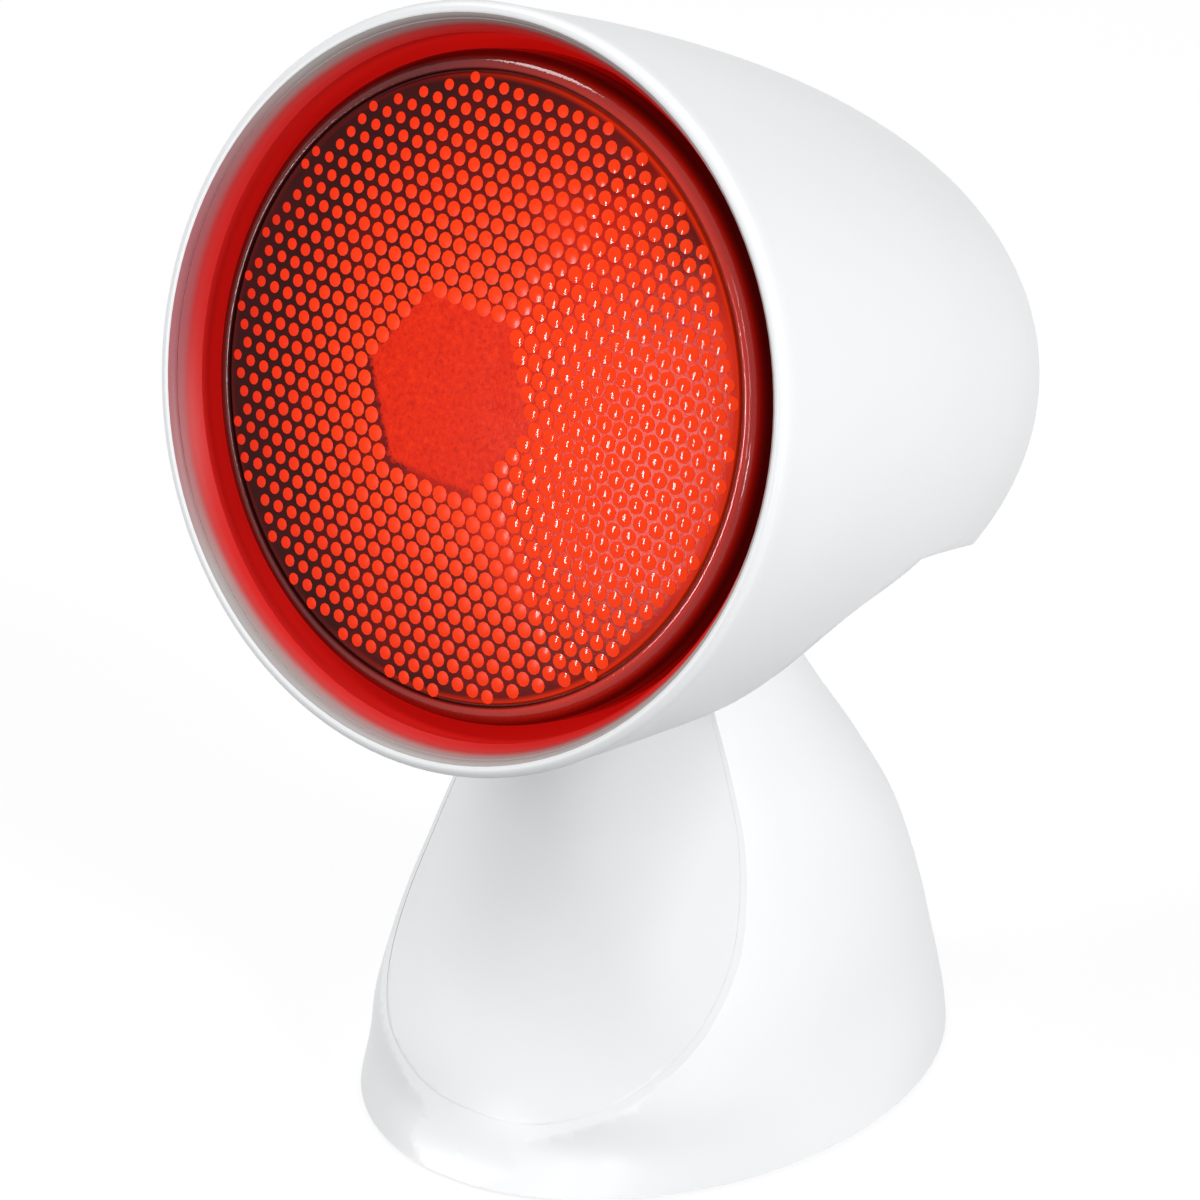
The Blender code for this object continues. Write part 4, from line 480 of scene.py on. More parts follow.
class Bench:
    """Modelling moves made with Blender's operators, one piece at a time."""

    POINT = 0.01 * MM

    @staticmethod
    def pick(piece: bpy.types.Object) -> None:
        """Select one piece alone and make it active."""
        bpy.ops.object.select_all(action="DESELECT")
        piece.select_set(True)
        bpy.context.view_layer.objects.active = piece

    @staticmethod
    def open(piece: bpy.types.Object) -> None:
        """Enter edit mode with the whole piece selected."""
        Bench.pick(piece)
        bpy.ops.object.mode_set(mode="EDIT")
        bpy.ops.mesh.select_mode(type="VERT")
        bpy.ops.mesh.select_all(action="SELECT")

    @staticmethod
    def close() -> None:
        """Turn all faces outwards and leave edit mode."""
        bpy.ops.mesh.select_all(action="SELECT")
        bpy.ops.mesh.normals_make_consistent(inside=False)
        bpy.ops.object.mode_set(mode="OBJECT")

    @staticmethod
    def turned(name: str, rings: Sequence[Ring], count: int, looped: bool = False) -> bpy.types.Object:
        """Closed piece through a row of rings, extruded ring by ring from a circle.

        Args:
            name: name of the piece.
            rings: rings in order; a ring at an end with no radius becomes a pole.
            count: vertices in each ring.
            looped: whether the last ring joins the first, as on a pipe's wall.

        Returns:
            The piece.
        """
        rows = [Ring(max(ring.radius, Bench.POINT), ring.centre) for ring in rings]
        if looped:
            rows.append(rows[0])
        bpy.ops.object.select_all(action="DESELECT")
        bpy.ops.mesh.primitive_circle_add(vertices=count, radius=rows[0].radius)
        piece = bpy.context.object
        piece.name = name
        bpy.ops.object.mode_set(mode="EDIT")
        bpy.ops.mesh.select_all(action="SELECT")
        bpy.ops.transform.translate(value=rows[0].centre)
        for before, after in zip(rows, rows[1:]):
            step = Vector(after.centre) - Vector(before.centre)
            bpy.ops.mesh.extrude_edges_move(TRANSFORM_OT_translate={"value": tuple(step)})
            scale = after.radius / before.radius
            bpy.ops.transform.resize(value=(scale, scale, 1.0), center_override=after.centre)
        if looped:
            bpy.ops.mesh.select_all(action="SELECT")
            bpy.ops.mesh.remove_doubles(threshold=Bench.POINT / 10)
        else:
            Bench.cap(rows[-1].radius <= Bench.POINT)
            mesh = bmesh.from_edit_mesh(piece.data)
            mesh.verts.ensure_lookup_table()
            bpy.ops.mesh.select_all(action="DESELECT")
            for vertex in mesh.verts[:count]:
                vertex.select = True
            mesh.select_flush(True)
            bmesh.update_edit_mesh(piece.data)
            Bench.cap(rows[0].radius <= Bench.POINT)
        Bench.close()
        return piece

    @staticmethod
    def cap(pole: bool) -> None:
        """Close the selected ring with a pole or with a flat face."""
        if pole:
            bpy.ops.mesh.merge(type="CENTER")
        else:
            bpy.ops.mesh.edge_face_add()

    @staticmethod
    def prism(name: str, outline: Sequence[Vector], run: Vector) -> bpy.types.Object:
        """Closed prism from a flat outline.

        Args:
            name: name of the piece.
            outline: corners in order.
            run: how far and which way the outline is extruded.

        Returns:
            The piece.
        """
        bpy.ops.object.select_all(action="DESELECT")
        bpy.ops.mesh.primitive_circle_add(vertices=len(outline), radius=1.0, fill_type="NGON")
        piece = bpy.context.object
        piece.name = name
        for vertex, corner in zip(piece.data.vertices, outline):
            vertex.co = corner
        bpy.ops.object.mode_set(mode="EDIT")
        bpy.ops.mesh.select_all(action="SELECT")
        bpy.ops.mesh.extrude_region_move(TRANSFORM_OT_translate={"value": tuple(run)})
        Bench.close()
        return piece

    @staticmethod
    def shape(piece: bpy.types.Object, move: Shape) -> bpy.types.Object:
        """Move every vertex by a rule and return the piece."""
        for vertex in piece.data.vertices:
            vertex.co = move(vertex.co.copy())
        piece.data.update()
        return piece

    @staticmethod
    def join(target: bpy.types.Object, tool: bpy.types.Object, joining: Joining) -> bpy.types.Object:
        """Combine two closed pieces; the second is used up.

        Args:
            target: the piece that stays.
            tool: the piece that is used up.
            joining: how they are combined.

        Returns:
            The target.
        """
        Bench.pick(target)
        modifier = target.modifiers.new("joining", "BOOLEAN")
        modifier.operation, modifier.solver, modifier.object = joining.value, "EXACT", tool
        bpy.ops.object.modifier_apply(modifier=modifier.name)
        bpy.data.objects.remove(tool, do_unlink=True)
        return target

    @staticmethod
    def soften(piece: bpy.types.Object, width: float, segments: int = 2, angle: float = 40.0) -> bpy.types.Object:
        """Round the sharp edges of a piece.

        Args:
            piece: the piece.
            width: width of the rounding.
            segments: faces across it.
            angle: edges sharper than this many degrees are rounded.

        Returns:
            The piece.
        """
        Bench.pick(piece)
        modifier = piece.modifiers.new("edges", "BEVEL")
        modifier.width, modifier.segments, modifier.limit_method = width, segments, "ANGLE"
        modifier.angle_limit, modifier.use_clamp_overlap = math.radians(angle), True
        bpy.ops.object.modifier_apply(modifier=modifier.name)
        return piece

    @staticmethod
    def settle(piece: bpy.types.Object, place: Matrix) -> bpy.types.Object:
        """Put a piece in its place and write the place into its mesh."""
        Bench.pick(piece)
        piece.matrix_world = place
        bpy.ops.object.transform_apply(location=True, rotation=True, scale=True)
        return piece

    @staticmethod
    def smooth(piece: bpy.types.Object, angle: float = 32.0) -> bpy.types.Object:
        """Smooth shading across edges flatter than an angle in degrees."""
        Bench.pick(piece)
        bpy.ops.object.shade_smooth_by_angle(angle=math.radians(angle))
        return piece

    @staticmethod
    def merged_copy(node: str) -> bpy.types.Object:
        """Copy of a CAD node's mesh with its loose triangles merged.

        Args:
            node: name of the node.

        Returns:
            The new piece.
        """
        piece = bpy.data.objects.new(node + "_dressed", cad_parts[node].data.copy())
        bpy.context.scene.collection.objects.link(piece)
        Bench.open(piece)
        bpy.ops.mesh.remove_doubles(threshold=Bench.POINT / 10)
        bpy.ops.mesh.dissolve_limited(angle_limit=math.radians(0.6))
        Bench.close()
        return piece


@dataclass
class Assembly:
    """Pieces that are built, dressed and counted together."""

    body: Body

    def dress(self, piece: bpy.types.Object, finish: Surface, slot: str, *nodes: str, angle: float = 32.0) -> None:
        """Give a piece its finish and body, and let it stand for CAD nodes.

        Args:
            piece: the finished piece.
            finish: its finish.
            slot: the record's material slot; not used.
            nodes: CAD nodes that the piece replaces.
            angle: edges flatter than this are shaded smooth.
        """
        if not piece.data.materials:
            piece.data.materials.append(finish.material())
        else:
            piece.data.materials[0] = finish.material()
        Bench.smooth(piece, angle)
        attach(piece, self.body.value)
        if nodes:
            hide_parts(*nodes)
        LOG.info("%s: %s, %d faces", self.body.value, piece.name, len(piece.data.polygons))

    @staticmethod
    def part_finishes(piece: bpy.types.Object, first: Surface, second: Surface,
                      chosen: Callable[[Vector, Vector], bool]) -> None:
        """Give a piece two finishes.

        Args:
            piece: the piece, before it is set in place.
            first: finish of the faces that aren't chosen.
            second: finish of the chosen faces.
            chosen: test on a face's middle and normal.
        """
        piece.data.materials.append(first.material())
        piece.data.materials.append(second.material())
        for face in piece.data.polygons:
            face.material_index = int(chosen(face.center, face.normal))

    def refine(self, node: str, finish: Finish, slot: str, edge: float = 0.25 * MM) -> None:
        """Replace a CAD node by a copy with rounded edges and smooth faces.

        Args:
            node: name of the node.
            finish: its finish.
            slot: the record's material slot.
            edge: width of the rounding.
        """
        piece = Bench.merged_copy(node)
        piece.data.materials.clear()
        if edge:
            Bench.soften(piece, edge, 2, 30.0)
        self.dress(piece, finish, slot, node)

    def refine_screw(self, node: str) -> None:
        """Replace a CAD screw that stands upright on its head by a rounded copy with a cross recess.

        Args:
            node: name of the node.
        """
        piece = Bench.merged_copy(node)
        piece.data.materials.clear()
        Bench.soften(piece, 0.2 * MM, 2, 30.0)
        corners = [Vector(corner) for corner in piece.bound_box]
        middle = sum(corners, Vector()) / 8
        low = min(corner.z for corner in corners)
        for wide, deep in ((1.9 * MM, 0.32 * MM), (0.32 * MM, 1.9 * MM)):
            outline = [Vector((middle.x + x * wide, middle.y + y * deep, low - 0.5 * MM))
                       for x, y in SQUARE]
            Bench.join(piece, Bench.prism("bit", outline, Vector((0.0, 0.0, 1.3 * MM))), Joining.CUT)
        self.dress(piece, Finishes.steel, "steel", node)

    def keep(self, finish: Finish, *nodes: str) -> None:
        """Keep CAD nodes as they are and give them a finish."""
        for node in nodes:
            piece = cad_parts[node]
            piece.data.materials.clear()
            piece.data.materials.append(finish.material())
        LOG.info("%s: %d inner nodes with %s", self.body.value, len(nodes), finish.name)


def table(place: float, places: Sequence[float], values: Sequence[float]) -> float:
    """Smooth curve through a table, without overshoot between its entries."""
    steps = [b - a for a, b in zip(places, places[1:])]
    slopes = [(b - a) / step for a, b, step in zip(values, values[1:], steps)]
    bends = [slopes[0]]
    for before, after in zip(slopes, slopes[1:]):
        bends.append(0.0 if before * after <= 0 else 2 * before * after / (before + after))
    bends.append(slopes[-1])
    index = 0
    while index < len(steps) - 1 and place > places[index + 1]:
        index += 1
    t = (place - places[index]) / steps[index]
    low, high = bends[index] * steps[index], bends[index + 1] * steps[index]
    return (values[index] * (2 * t ** 3 - 3 * t ** 2 + 1) + low * (t ** 3 - 2 * t ** 2 + t)
            + values[index + 1] * (3 * t ** 2 - 2 * t ** 3) + high * (t ** 3 - t ** 2))


def bezier(corners: Sequence[tuple[float, float]], share: float) -> tuple[float, float]:
    """Point of a cubic Bezier at a share of its run."""
    rest = 1 - share
    weights = (rest ** 3, 3 * rest ** 2 * share, 3 * rest * share ** 2, share ** 3)
    return tuple(sum(weight * corner[axis] for weight, corner in zip(weights, corners)) for axis in range(2))


# Head

@dataclass
class Shade(Assembly):
    """Dome of the head with its rolled rim, the bite for the neck, and the rear vents."""

    body: Body = Body.HEAD
    rim: float = 69.8 * MM
    length: float = 158.0 * MM
    wall: float = 2.5 * MM
    lip: float = 1.6 * MM
    lip_shown: float = 2.3 * MM
    glow_reach: float = 40 * MM
    droop: float = 3.4 * MM
    pivot_back: float = 75.5 * MM
    pivot_down: float = 49.4 * MM
    vent_pitch: float = 7.5 * MM
    vent_half_height: float = 1.4 * MM
    vent_circle: float = 24.0 * MM
    segments: int = 128

    def outline(self, inset: float = 0.0, steps: int = 44) -> list[tuple[float, float]]:
        """Profile of the dome from the rim to the pole.

        Args:
            inset: how far the profile is moved in.
            steps: number of runs.

        Returns:
            (back, radius) pairs.
        """
        corners = ((0.0, self.rim - inset), (0.3595 * (self.length - inset), 0.9205 * self.rim - inset),
                   (self.length - inset, 0.7474 * self.rim - inset), (self.length - inset, 0.0))
        return [bezier(corners, 1 - (1 - step / steps) ** 1.25) for step in range(steps + 1)]

    def ring(self, back: float, radius: float) -> Ring:
        """Ring of the dome, hanging a little towards the rear."""
        return Ring(radius, (0.0, self.droop * (back / self.length) ** 2, back))

    def bite_edge(self) -> list[Vector]:
        """Edge of the bite as (0, down, back) points, from the underside to the rear."""
        corners = ((-33.3 * MM, -12.6 * MM), (-33.3 * MM, 23.4 * MM), (-17.5 * MM, 18.9 * MM), (-1.1 * MM, 28.0 * MM))
        line = [bezier(corners, step / 28) for step in range(29)]
        reach = self.length + 2 * MM - self.pivot_back - line[-1][0]
        for step in range(1, 15):
            run = reach * step / 14
            line.append((corners[-1][0] + run, corners[-1][1] - 3.0 * MM * (run / (35.6 * MM)) ** 2))
        return [Vector((0.0, self.pivot_down - up, self.pivot_back + back)) for back, up in line]

    def bite(self) -> bpy.types.Object:
        """Solid that cuts the bite out of the dome."""
        edge = self.bite_edge()
        corners = [Vector((0.0, 0.3, edge[-1].z)), Vector((0.0, 0.3, edge[0].z))]
        outline = [point + Vector((-0.1, 0.0, 0.0)) for point in edge + corners]
        return Bench.prism("bite", outline, Vector((0.2, 0.0, 0.0)))

    def vent(self, up: float) -> bpy.types.Object:
        """Solid that cuts one round-ended slot into the rear."""
        half = math.sqrt(self.vent_circle ** 2 - up ** 2) - self.vent_half_height
        outline = []
        for side in (1, -1):
            for step in range(9):
                angle = side * (math.pi / 2 - math.pi * step / 8)
                outline.append(Vector((side * (half + math.cos(angle) * self.vent_half_height),
                                       -up - math.sin(angle) * self.vent_half_height, 146.3 * MM)))
        return Bench.prism("slot", outline, Vector((0.0, 0.0, 20.0 * MM)))

    def lit_face(self, middle: Vector, normal: Vector) -> bool:
        """Whether a face of the dome takes the inside finish with its painted shade and the bulb's painted glow."""
        if middle.z <= self.lip:
            return math.hypot(middle.x, middle.y) < self.rim - self.lip_shown
        return middle.z < self.glow_reach and normal.x * middle.x + normal.y * middle.y < 0

    def build(self) -> None:
        """Build the dome."""
        outer = [self.ring(*point) for point in self.outline() if point[0] > self.lip]
        inner = [self.ring(*point) for point in self.outline(self.wall) if point[0] > 2 * self.lip]
        front = []
        for step in range(9):
            angle = math.pi * step / 8
            front.append(self.ring(self.lip - self.lip * math.sin(angle),
                                   self.rim - self.lip - self.lip * math.cos(angle)))
        dome = Bench.turned("dome", inner[::-1] + front + outer, self.segments)
        Bench.join(dome, self.bite(), Joining.CUT)
        for index in range(5):
            Bench.join(dome, self.vent((index - 2) * self.vent_pitch - self.droop / 2), Joining.CUT)
        Bench.soften(dome, 0.35 * MM, 2, 50.0)
        # The inner lip and inner wall near the rim take painted shade and painted glow.
        self.part_finishes(dome, Finishes.white, Finishes.inside, self.lit_face)
        Bench.settle(dome, HEAD_PLACE)
        self.dress(dome, Finishes.white, "white_plastic", "shade_shell", angle=28.0)


@dataclass
class Liner(Assembly):
    """Spun heat shield between bulb and dome."""

    body: Body = Body.HEAD
    front: float = 4.4 * MM
    flange: float = 1.2 * MM
    end: float = 142.0 * MM
    flange_radius: float = 66.9 * MM
    front_radius: float = 65.2 * MM
    end_radius: float = 22.0 * MM
    wall: float = 1.2 * MM
    backs: tuple[float, ...] = (0.0, 0.103, 0.206, 0.279, 0.353, 0.4265, 0.5, 0.588, 0.691, 0.875, 1.0)
    radii: tuple[float, ...] = (1.0, 0.956, 0.854, 0.728, 0.570, 0.400, 0.243, 0.121, 0.073, 0.036, 0.0)

    def profile(self, inset: float) -> list[tuple[float, float]]:
        """Profile of the liner's sheet as (back, radius) pairs."""
        start = self.front + self.flange
        points = []
        for step in range(33):
            share = step / 32
            radius = self.end_radius + (self.front_radius - self.end_radius) * table(share, self.backs, self.radii)
            points.append((start + (self.end - start) * share, radius - inset))
        return points

    def build(self) -> None:
        """Build the liner with its passage for the leads."""
        outer, inner = self.profile(0.0), self.profile(self.wall)
        sleeve = [(4.4 * MM, 65.0 * MM), (3.0 * MM, 65.8 * MM), (1.5 * MM, 66.4 * MM), (1.5 * MM, 66.8 * MM),
                  (3.2 * MM, self.flange_radius), (outer[0][0], self.flange_radius)]
        rings = [Ring(radius, (0.0, 0.0, back)) for back, radius in inner[::-1] + sleeve + outer]
        liner = Bench.turned("heat_shield", rings, 96, looped=True)
        slot = [Vector((x * 3.6 * MM, 5.0 * MM, (75.5 + z * 3.0) * MM)) for x, z in SQUARE]
        Bench.join(liner, Bench.prism("passage", slot, Vector((0.0, 60.0 * MM, 0.0))), Joining.CUT)
        for side in (-1, 1):
            hole = [Vector((side * 6.5 * MM + 1.5 * MM * math.cos(a * math.tau / 16), 5.0 * MM,
                            88.0 * MM + 1.5 * MM * math.sin(a * math.tau / 16))) for a in range(16)]
            Bench.join(liner, Bench.prism("hole", hole, Vector((0.0, 60.0 * MM, 0.0))), Joining.CUT)
        # Inner faces take the inside finish with its painted shade and painted glow; outer faces are aluminium.
        self.part_finishes(liner, Finishes.inside, Finishes.aluminium, lambda middle, normal: (
            middle.z > self.front and normal.x * middle.x + normal.y * middle.y > 0))
        Bench.settle(liner, HEAD_PLACE)
        self.dress(liner, Finishes.inside, "aluminium", "shade_liner")


@dataclass
class Bulb(Assembly):
    """Reflector bulb: pressed lens with its lenslets, silvered glass bowl, collar and cap."""

    body: Body = Body.HEAD
    radius: float = 61.0 * MM
    crown_radius: float = 57.0 * MM
    shoulder_radius: float = 57.6 * MM
    groove: tuple[tuple[float, float], ...] = ((57.45, 5.2), (57.2, 5.75), (56.9, 5.75), (56.6, 5.2))
    set_back: float = 2.2 * MM
    crown: float = 3.0 * MM
    wall: float = 3.4 * MM
    edge_back: float = 9.2 * MM
    seam_back: float = 11.4 * MM
    flange_back: float = 14.9 * MM
    pitch: float = 3.4 * MM
    turn: float = math.radians(4.0)

    def crown_back(self, radius: float) -> float:
        """Depth of the lens's crown at a radius."""
        return self.set_back + self.crown * (radius / self.crown_radius) ** 2

    def build_lens(self) -> None:
        """Pressed lens with a groove around its field and a rounded shoulder."""
        rings = [Ring(0.0, (0, 0, self.set_back + self.wall))]
        rings += [Ring(r * MM, (0, 0, self.crown_back(r * MM) + self.wall)) for r in (10, 20, 30, 40, 48, 53)]
        rings += [Ring(56.4 * MM, (0, 0, 9.9 * MM)), Ring(57.4 * MM, (0, 0, self.seam_back)),
                  Ring(self.radius - 0.2 * MM, (0, 0, self.seam_back)),
                  Ring(self.radius, (0, 0, self.seam_back - 0.2 * MM)),
                  Ring(self.radius, (0, 0, self.edge_back))]
        for step in range(1, 11):
            angle = math.pi / 2 * step / 10
            rings.append(Ring(57.7 * MM + 3.3 * MM * math.cos(angle),
                              (0, 0, self.edge_back - (self.edge_back - 5.1 * MM) * math.sin(angle))))
        rings += [Ring(r * MM, (0, 0, z * MM)) for r, z in self.groove]
        rings += [Ring(r * MM, (0, 0, self.crown_back(r * MM)))
                  for r in (56.2, 54, 50, 45, 40, 35, 30, 25, 20, 15, 10, 5, 0)]
        lens = Bench.turned("pressed_lens", rings, 128)
        self.part_finishes(lens, Finishes.lens, Finishes.shoulder,
                           lambda middle, _: math.hypot(middle.x, middle.y) > self.shoulder_radius)
        Bench.settle(lens, HEAD_PLACE)
        self.dress(lens, Finishes.lens, "red_glass", "bulb_lens", angle=38.0)

    def lenslet_size(self, x: float, y: float) -> float:
        """Size of the lenslet at a place: crowns shrink towards the left and upper edge."""
        radius = math.hypot(x, y)
        if radius < 1 * MM:
            return 1.0
        leaning = 0.65 - 0.35 * x / radius + 0.12 * -y / radius
        return 0.97 - (radius / self.crown_radius) ** 2 * leaning * 0.42

    def build_lenslets(self) -> None:
        """Field of small domes pressed into the lens around its stippled middle, all in one piece."""
        slope = math.radians(8.0)
        crown = [Ring(math.sin(slope * share) / math.sin(slope), (0, 0, (math.cos(slope * share) - math.cos(slope))
                                                                  / math.sin(slope))) for share in (1, 0.72, 0.4, 0)]
        pattern = Bench.turned("lenslet", [Ring(0, (0, 0, -0.3)), Ring(1, (0, 0, -0.3))] + crown, 10)
        first = Vector((math.cos(self.turn), math.sin(self.turn), 0.0)) * self.pitch
        angle = self.turn + math.pi / 3
        second = Vector((math.cos(angle), math.sin(angle), 0.0)) * self.pitch
        finish = Finishes.lens
        copies = []
        for i in range(-40, 41):
            for j in range(-40, 41):
                place = first * i + second * j + Vector((0.4 * MM, -0.3 * MM, 0.0))
                radius = place.length
                if radius > 55.9 * MM:
                    continue
                x, y = place.x - finish.centre[0], place.y - finish.centre[1]
                across = abs(x * math.cos(self.turn) + y * math.sin(self.turn))
                down = abs(y * math.cos(self.turn) - x * math.sin(self.turn))
                if max(across * math.cos(math.pi / 6) + down * 0.5, down) < finish.hexagon + 0.6 * MM:
                    continue
                size = self.lenslet_size(place.x, place.y) * self.pitch / 2
                lean = Vector((-place.x, -place.y, 0.0)) * (2 * self.crown / self.crown_radius ** 2)
                facing = Vector((-lean.x, -lean.y, -1.0)).normalized()
                copy = bpy.data.objects.new("lenslet", pattern.data.copy())
                seat = Vector((place.x, place.y, self.crown_back(radius) - 0.05 * size))
                copy.matrix_world = (Matrix.Translation(seat) @ facing.to_track_quat("Z", "Y").to_matrix().to_4x4()
                                     @ Matrix.Diagonal((size, size, size, 1.0)))
                bpy.context.scene.collection.objects.link(copy)
                copies.append(copy)
        bpy.data.objects.remove(pattern, do_unlink=True)
        bpy.ops.object.select_all(action="DESELECT")
        for copy in copies:
            copy.select_set(True)
        bpy.context.view_layer.objects.active = copies[0]
        bpy.ops.object.join()
        field_of_domes = bpy.context.object
        field_of_domes.name = "lenslets"
        bpy.ops.object.transform_apply(location=True, rotation=True, scale=True)
        Bench.settle(field_of_domes, HEAD_PLACE)
        self.dress(field_of_domes, Finishes.lenslets, "red_glass", angle=60.0)
        LOG.info("head: %d lenslets", len(copies))

    def bowl_radius(self, back: float) -> float:
        """Radius of the bowl's inner parabola at a depth."""
        return 57.4 * MM * math.sqrt(max(0.0, (84.0 * MM - back) / (72.6 * MM)))

    def build_bowl(self) -> None:
        """Glass bowl with its flange behind the lens's seam."""
        stations = [self.flange_back + (81.4 * MM - self.flange_back) * (step / 24) ** 0.85 for step in range(25)]
        inner = [(self.seam_back + 0.3 * MM, 57.2 * MM)] + [(back, self.bowl_radius(back)) for back in stations]
        outer = [(back, self.bowl_radius(back) + 2.6 * MM) for back in stations]
        flange = [(self.seam_back + 0.3 * MM, self.radius), (self.flange_back, self.radius)]
        points = outer[::-1][:-1] + [(self.flange_back + 0.1 * MM, outer[0][1])] + flange[::-1] + inner
        rings = [Ring(radius, (0, 0, back)) for back, radius in points]
        bowl = Bench.turned("glass_bowl", rings, 96, looped=True)
        Bench.settle(bowl, HEAD_PLACE)
        self.dress(bowl, Finishes.ruby, "red_glass", "bulb_reflector", angle=38.0)

    def build(self) -> None:
        """Build the bulb's outer pieces and finish its inner ones."""
        self.build_lens()
        self.build_lenslets()
        self.build_bowl()
        self.refine("bulb_collar", Finishes.aluminium, "aluminium", 0.15 * MM)
        self.refine("bulb_cap", Finishes.brass, "brass", 0.12 * MM)
        self.keep(Finishes.black_glass, "cap_insulator")
        self.keep(Finishes.brass, "cap_contact")
        self.keep(Finishes.clear_glass, "bulb_stem")
        self.keep(Finishes.steel, "filament_post_left", "filament_post_right")
        self.keep(Finishes.tungsten, "bulb_filament")


@dataclass
class Underside(Assembly):
    """Sheet in the bite, its screws, the knuckle that carries the head, and the lampholder."""

    body: Body = Body.HEAD

    def build(self) -> None:
        """Finish the pieces between the head's dome and the tilt axis."""
        self.refine("underside_cover", Finishes.grey, "grey_plastic", 0.3 * MM)
        self.refine("hinge_knuckle", Finishes.white, "white_plastic", 0.4 * MM)
        for side in ("left", "right"):
            self.refine_screw("cover_screw_" + side)
        self.refine("lampholder_body", Finishes.ceramic, "ceramic", 0.4 * MM)
        self.refine("lampholder_bracket", Finishes.steel, "steel", 0.2 * MM)
        self.keep(Finishes.steel, "saddle_screw_left", "saddle_screw_right", "holder_screw_left", "holder_screw_right")
        self.keep(Finishes.brass, "screw_shell", "centre_contact")
        self.keep(Finishes.sleeve, "head_lead_left", "head_lead_right")


# Foot

@dataclass
class Foot(Assembly):
    """Bell-shaped foot: outer shell, teardrop front panel, bottom cover, fork and rear fittings."""

    body: Body = Body.FOOT
    height: float = 86.0 * MM
    half_width: float = 51.2 * MM
    half_length: float = 64.4 * MM
    wall: float = 2.5 * MM
    edge: float = 0.8 * MM
    gap: float = 0.06 * MM
    panel_foot: float = 3.3 * MM
    panel_top: float = 85.7 * MM
    heights: tuple[float, ...] = (0.0, 0.093, 0.209, 0.349, 0.523, 0.698, 0.860, 1.0)
    widths: tuple[float, ...] = (1.0, 0.959, 0.914, 0.871, 0.795, 0.6875, 0.539, 0.3926)
    fronts: tuple[float, ...] = (1.0, 0.894, 0.860, 0.800, 0.724, 0.655, 0.5885, 0.526)
    rears: tuple[float, ...] = (1.0, 0.918, 0.868, 0.832, 0.778, 0.661, 0.537, 0.446)
    corners: tuple[float, ...] = (1.0, 0.87, 0.816, 0.833, 0.87, 0.909, 0.952, 0.976)
    panel_heights: tuple[float, ...] = (-0.05, 0.0465, 0.186, 0.349, 0.523, 0.698, 0.860, 1.1)
    panel_fronts: tuple[float, ...] = (1.085, 0.9286, 0.8245, 0.6755, 0.534, 0.4006, 0.284, 0.120)
    panel_bows: tuple[float, ...] = (0.23, 0.23, 0.2816, 0.394, 0.466, 0.440, 0.394, 0.200)
    post_places: tuple[tuple[float, float], ...] = ((38.4, -14.17), (36.86, 16.1))
    pad_places: tuple[tuple[float, float], ...] = ((-30.72, -40.1), (30.72, -40.1), (-30.72, 24.3), (30.72, 24.3))
    pad_profile: tuple[tuple[float, float], ...] = ((0.0, 0.35), (3.6, 0.35), (4.0, 0.0), (5.0, 0.0), (5.5, 0.2),
                                                    (5.9, 0.7), (6.0, 0.95), (6.0, 1.75), (0.0, 1.75))
    gland_height: float = 12.2 * MM
    switch_height: float = 33.0 * MM
    pocket_floor: float = 49.5 * MM

    def section(self, z: float, inset: float) -> tuple[float, float, float, float]:
        """Size of the bell at a height.

        Args:
            z: height above the bell's lower edge.
            inset: how far the bell is moved in.

        Returns:
            Half width, middle, half length and corner power.
        """
        share = min(max(z / self.height, 0.0), 1.0)
        front = -self.half_length * table(share, self.heights, self.fronts)
        rear = self.half_length * table(share, self.heights, self.rears)
        return (self.half_width * table(share, self.heights, self.widths) - inset, (front + rear) / 2,
                (rear - front) / 2 - inset, table(share, self.heights, self.corners))

    def panel_face(self, x: float, z: float) -> float:
        """Front surface of the panel at one width and height."""
        share = z / self.height
        front = self.half_length * table(share, self.panel_heights, self.panel_fronts)
        return table(share, self.panel_heights, self.panel_bows) * x * x / self.half_width - front

    def bell(self, name: str, inset: float, low: float, high: float, rings: int = 44) -> bpy.types.Object:
        """Solid bell between two heights.

        Args:
            name: name of the piece.
            inset: how far it is moved in.
            low: its lower end.
            high: its upper end.
            rings: number of runs up its side.

        Returns:
            The piece.
        """
        stations = [low + (high - low) * step / rings for step in range(rings + 1)]
        piece = Bench.turned(name, [Ring(50 * MM, (0, 0, z)) for z in stations], 144)

        def placed(point: Vector) -> Vector:
            half, middle, length, power = self.section(point.z, inset)
            angle = math.atan2(point.y, point.x)
            across, along = math.cos(angle), math.sin(angle)
            return Vector((math.copysign(abs(across) ** power, across) * half,
                           middle + math.copysign(abs(along) ** power, along) * length, point.z))
        return Bench.shape(piece, placed)

    def sheet_block(self, name: str, front: float | None, back: float, low: float) -> bpy.types.Object:
        """Block between two sheets that follow the panel's face; no front offset means far in front."""
        bpy.ops.object.select_all(action="DESELECT")
        bpy.ops.mesh.primitive_grid_add(x_subdivisions=72, y_subdivisions=72, size=2.0)
        piece = bpy.context.object
        piece.name = name
        bpy.ops.object.mode_set(mode="EDIT")
        bpy.ops.mesh.select_all(action="SELECT")
        bpy.ops.mesh.extrude_region_move(TRANSFORM_OT_translate={"value": (0, 0, 1)})
        bpy.ops.object.mode_set(mode="OBJECT")
        high = self.height + 6 * MM

        def placed(point: Vector) -> Vector:
            x, z = point.x * (self.half_width + 2 * MM), low + (high - low) * (point.y + 1) / 2
            if point.z > 0.5:
                return Vector((x, self.panel_face(x, z) + back, z))
            return Vector((x, -0.3 if front is None else self.panel_face(x, z) + front, z))
        Bench.shape(piece, placed)
        Bench.open(piece)
        Bench.close()
        return piece

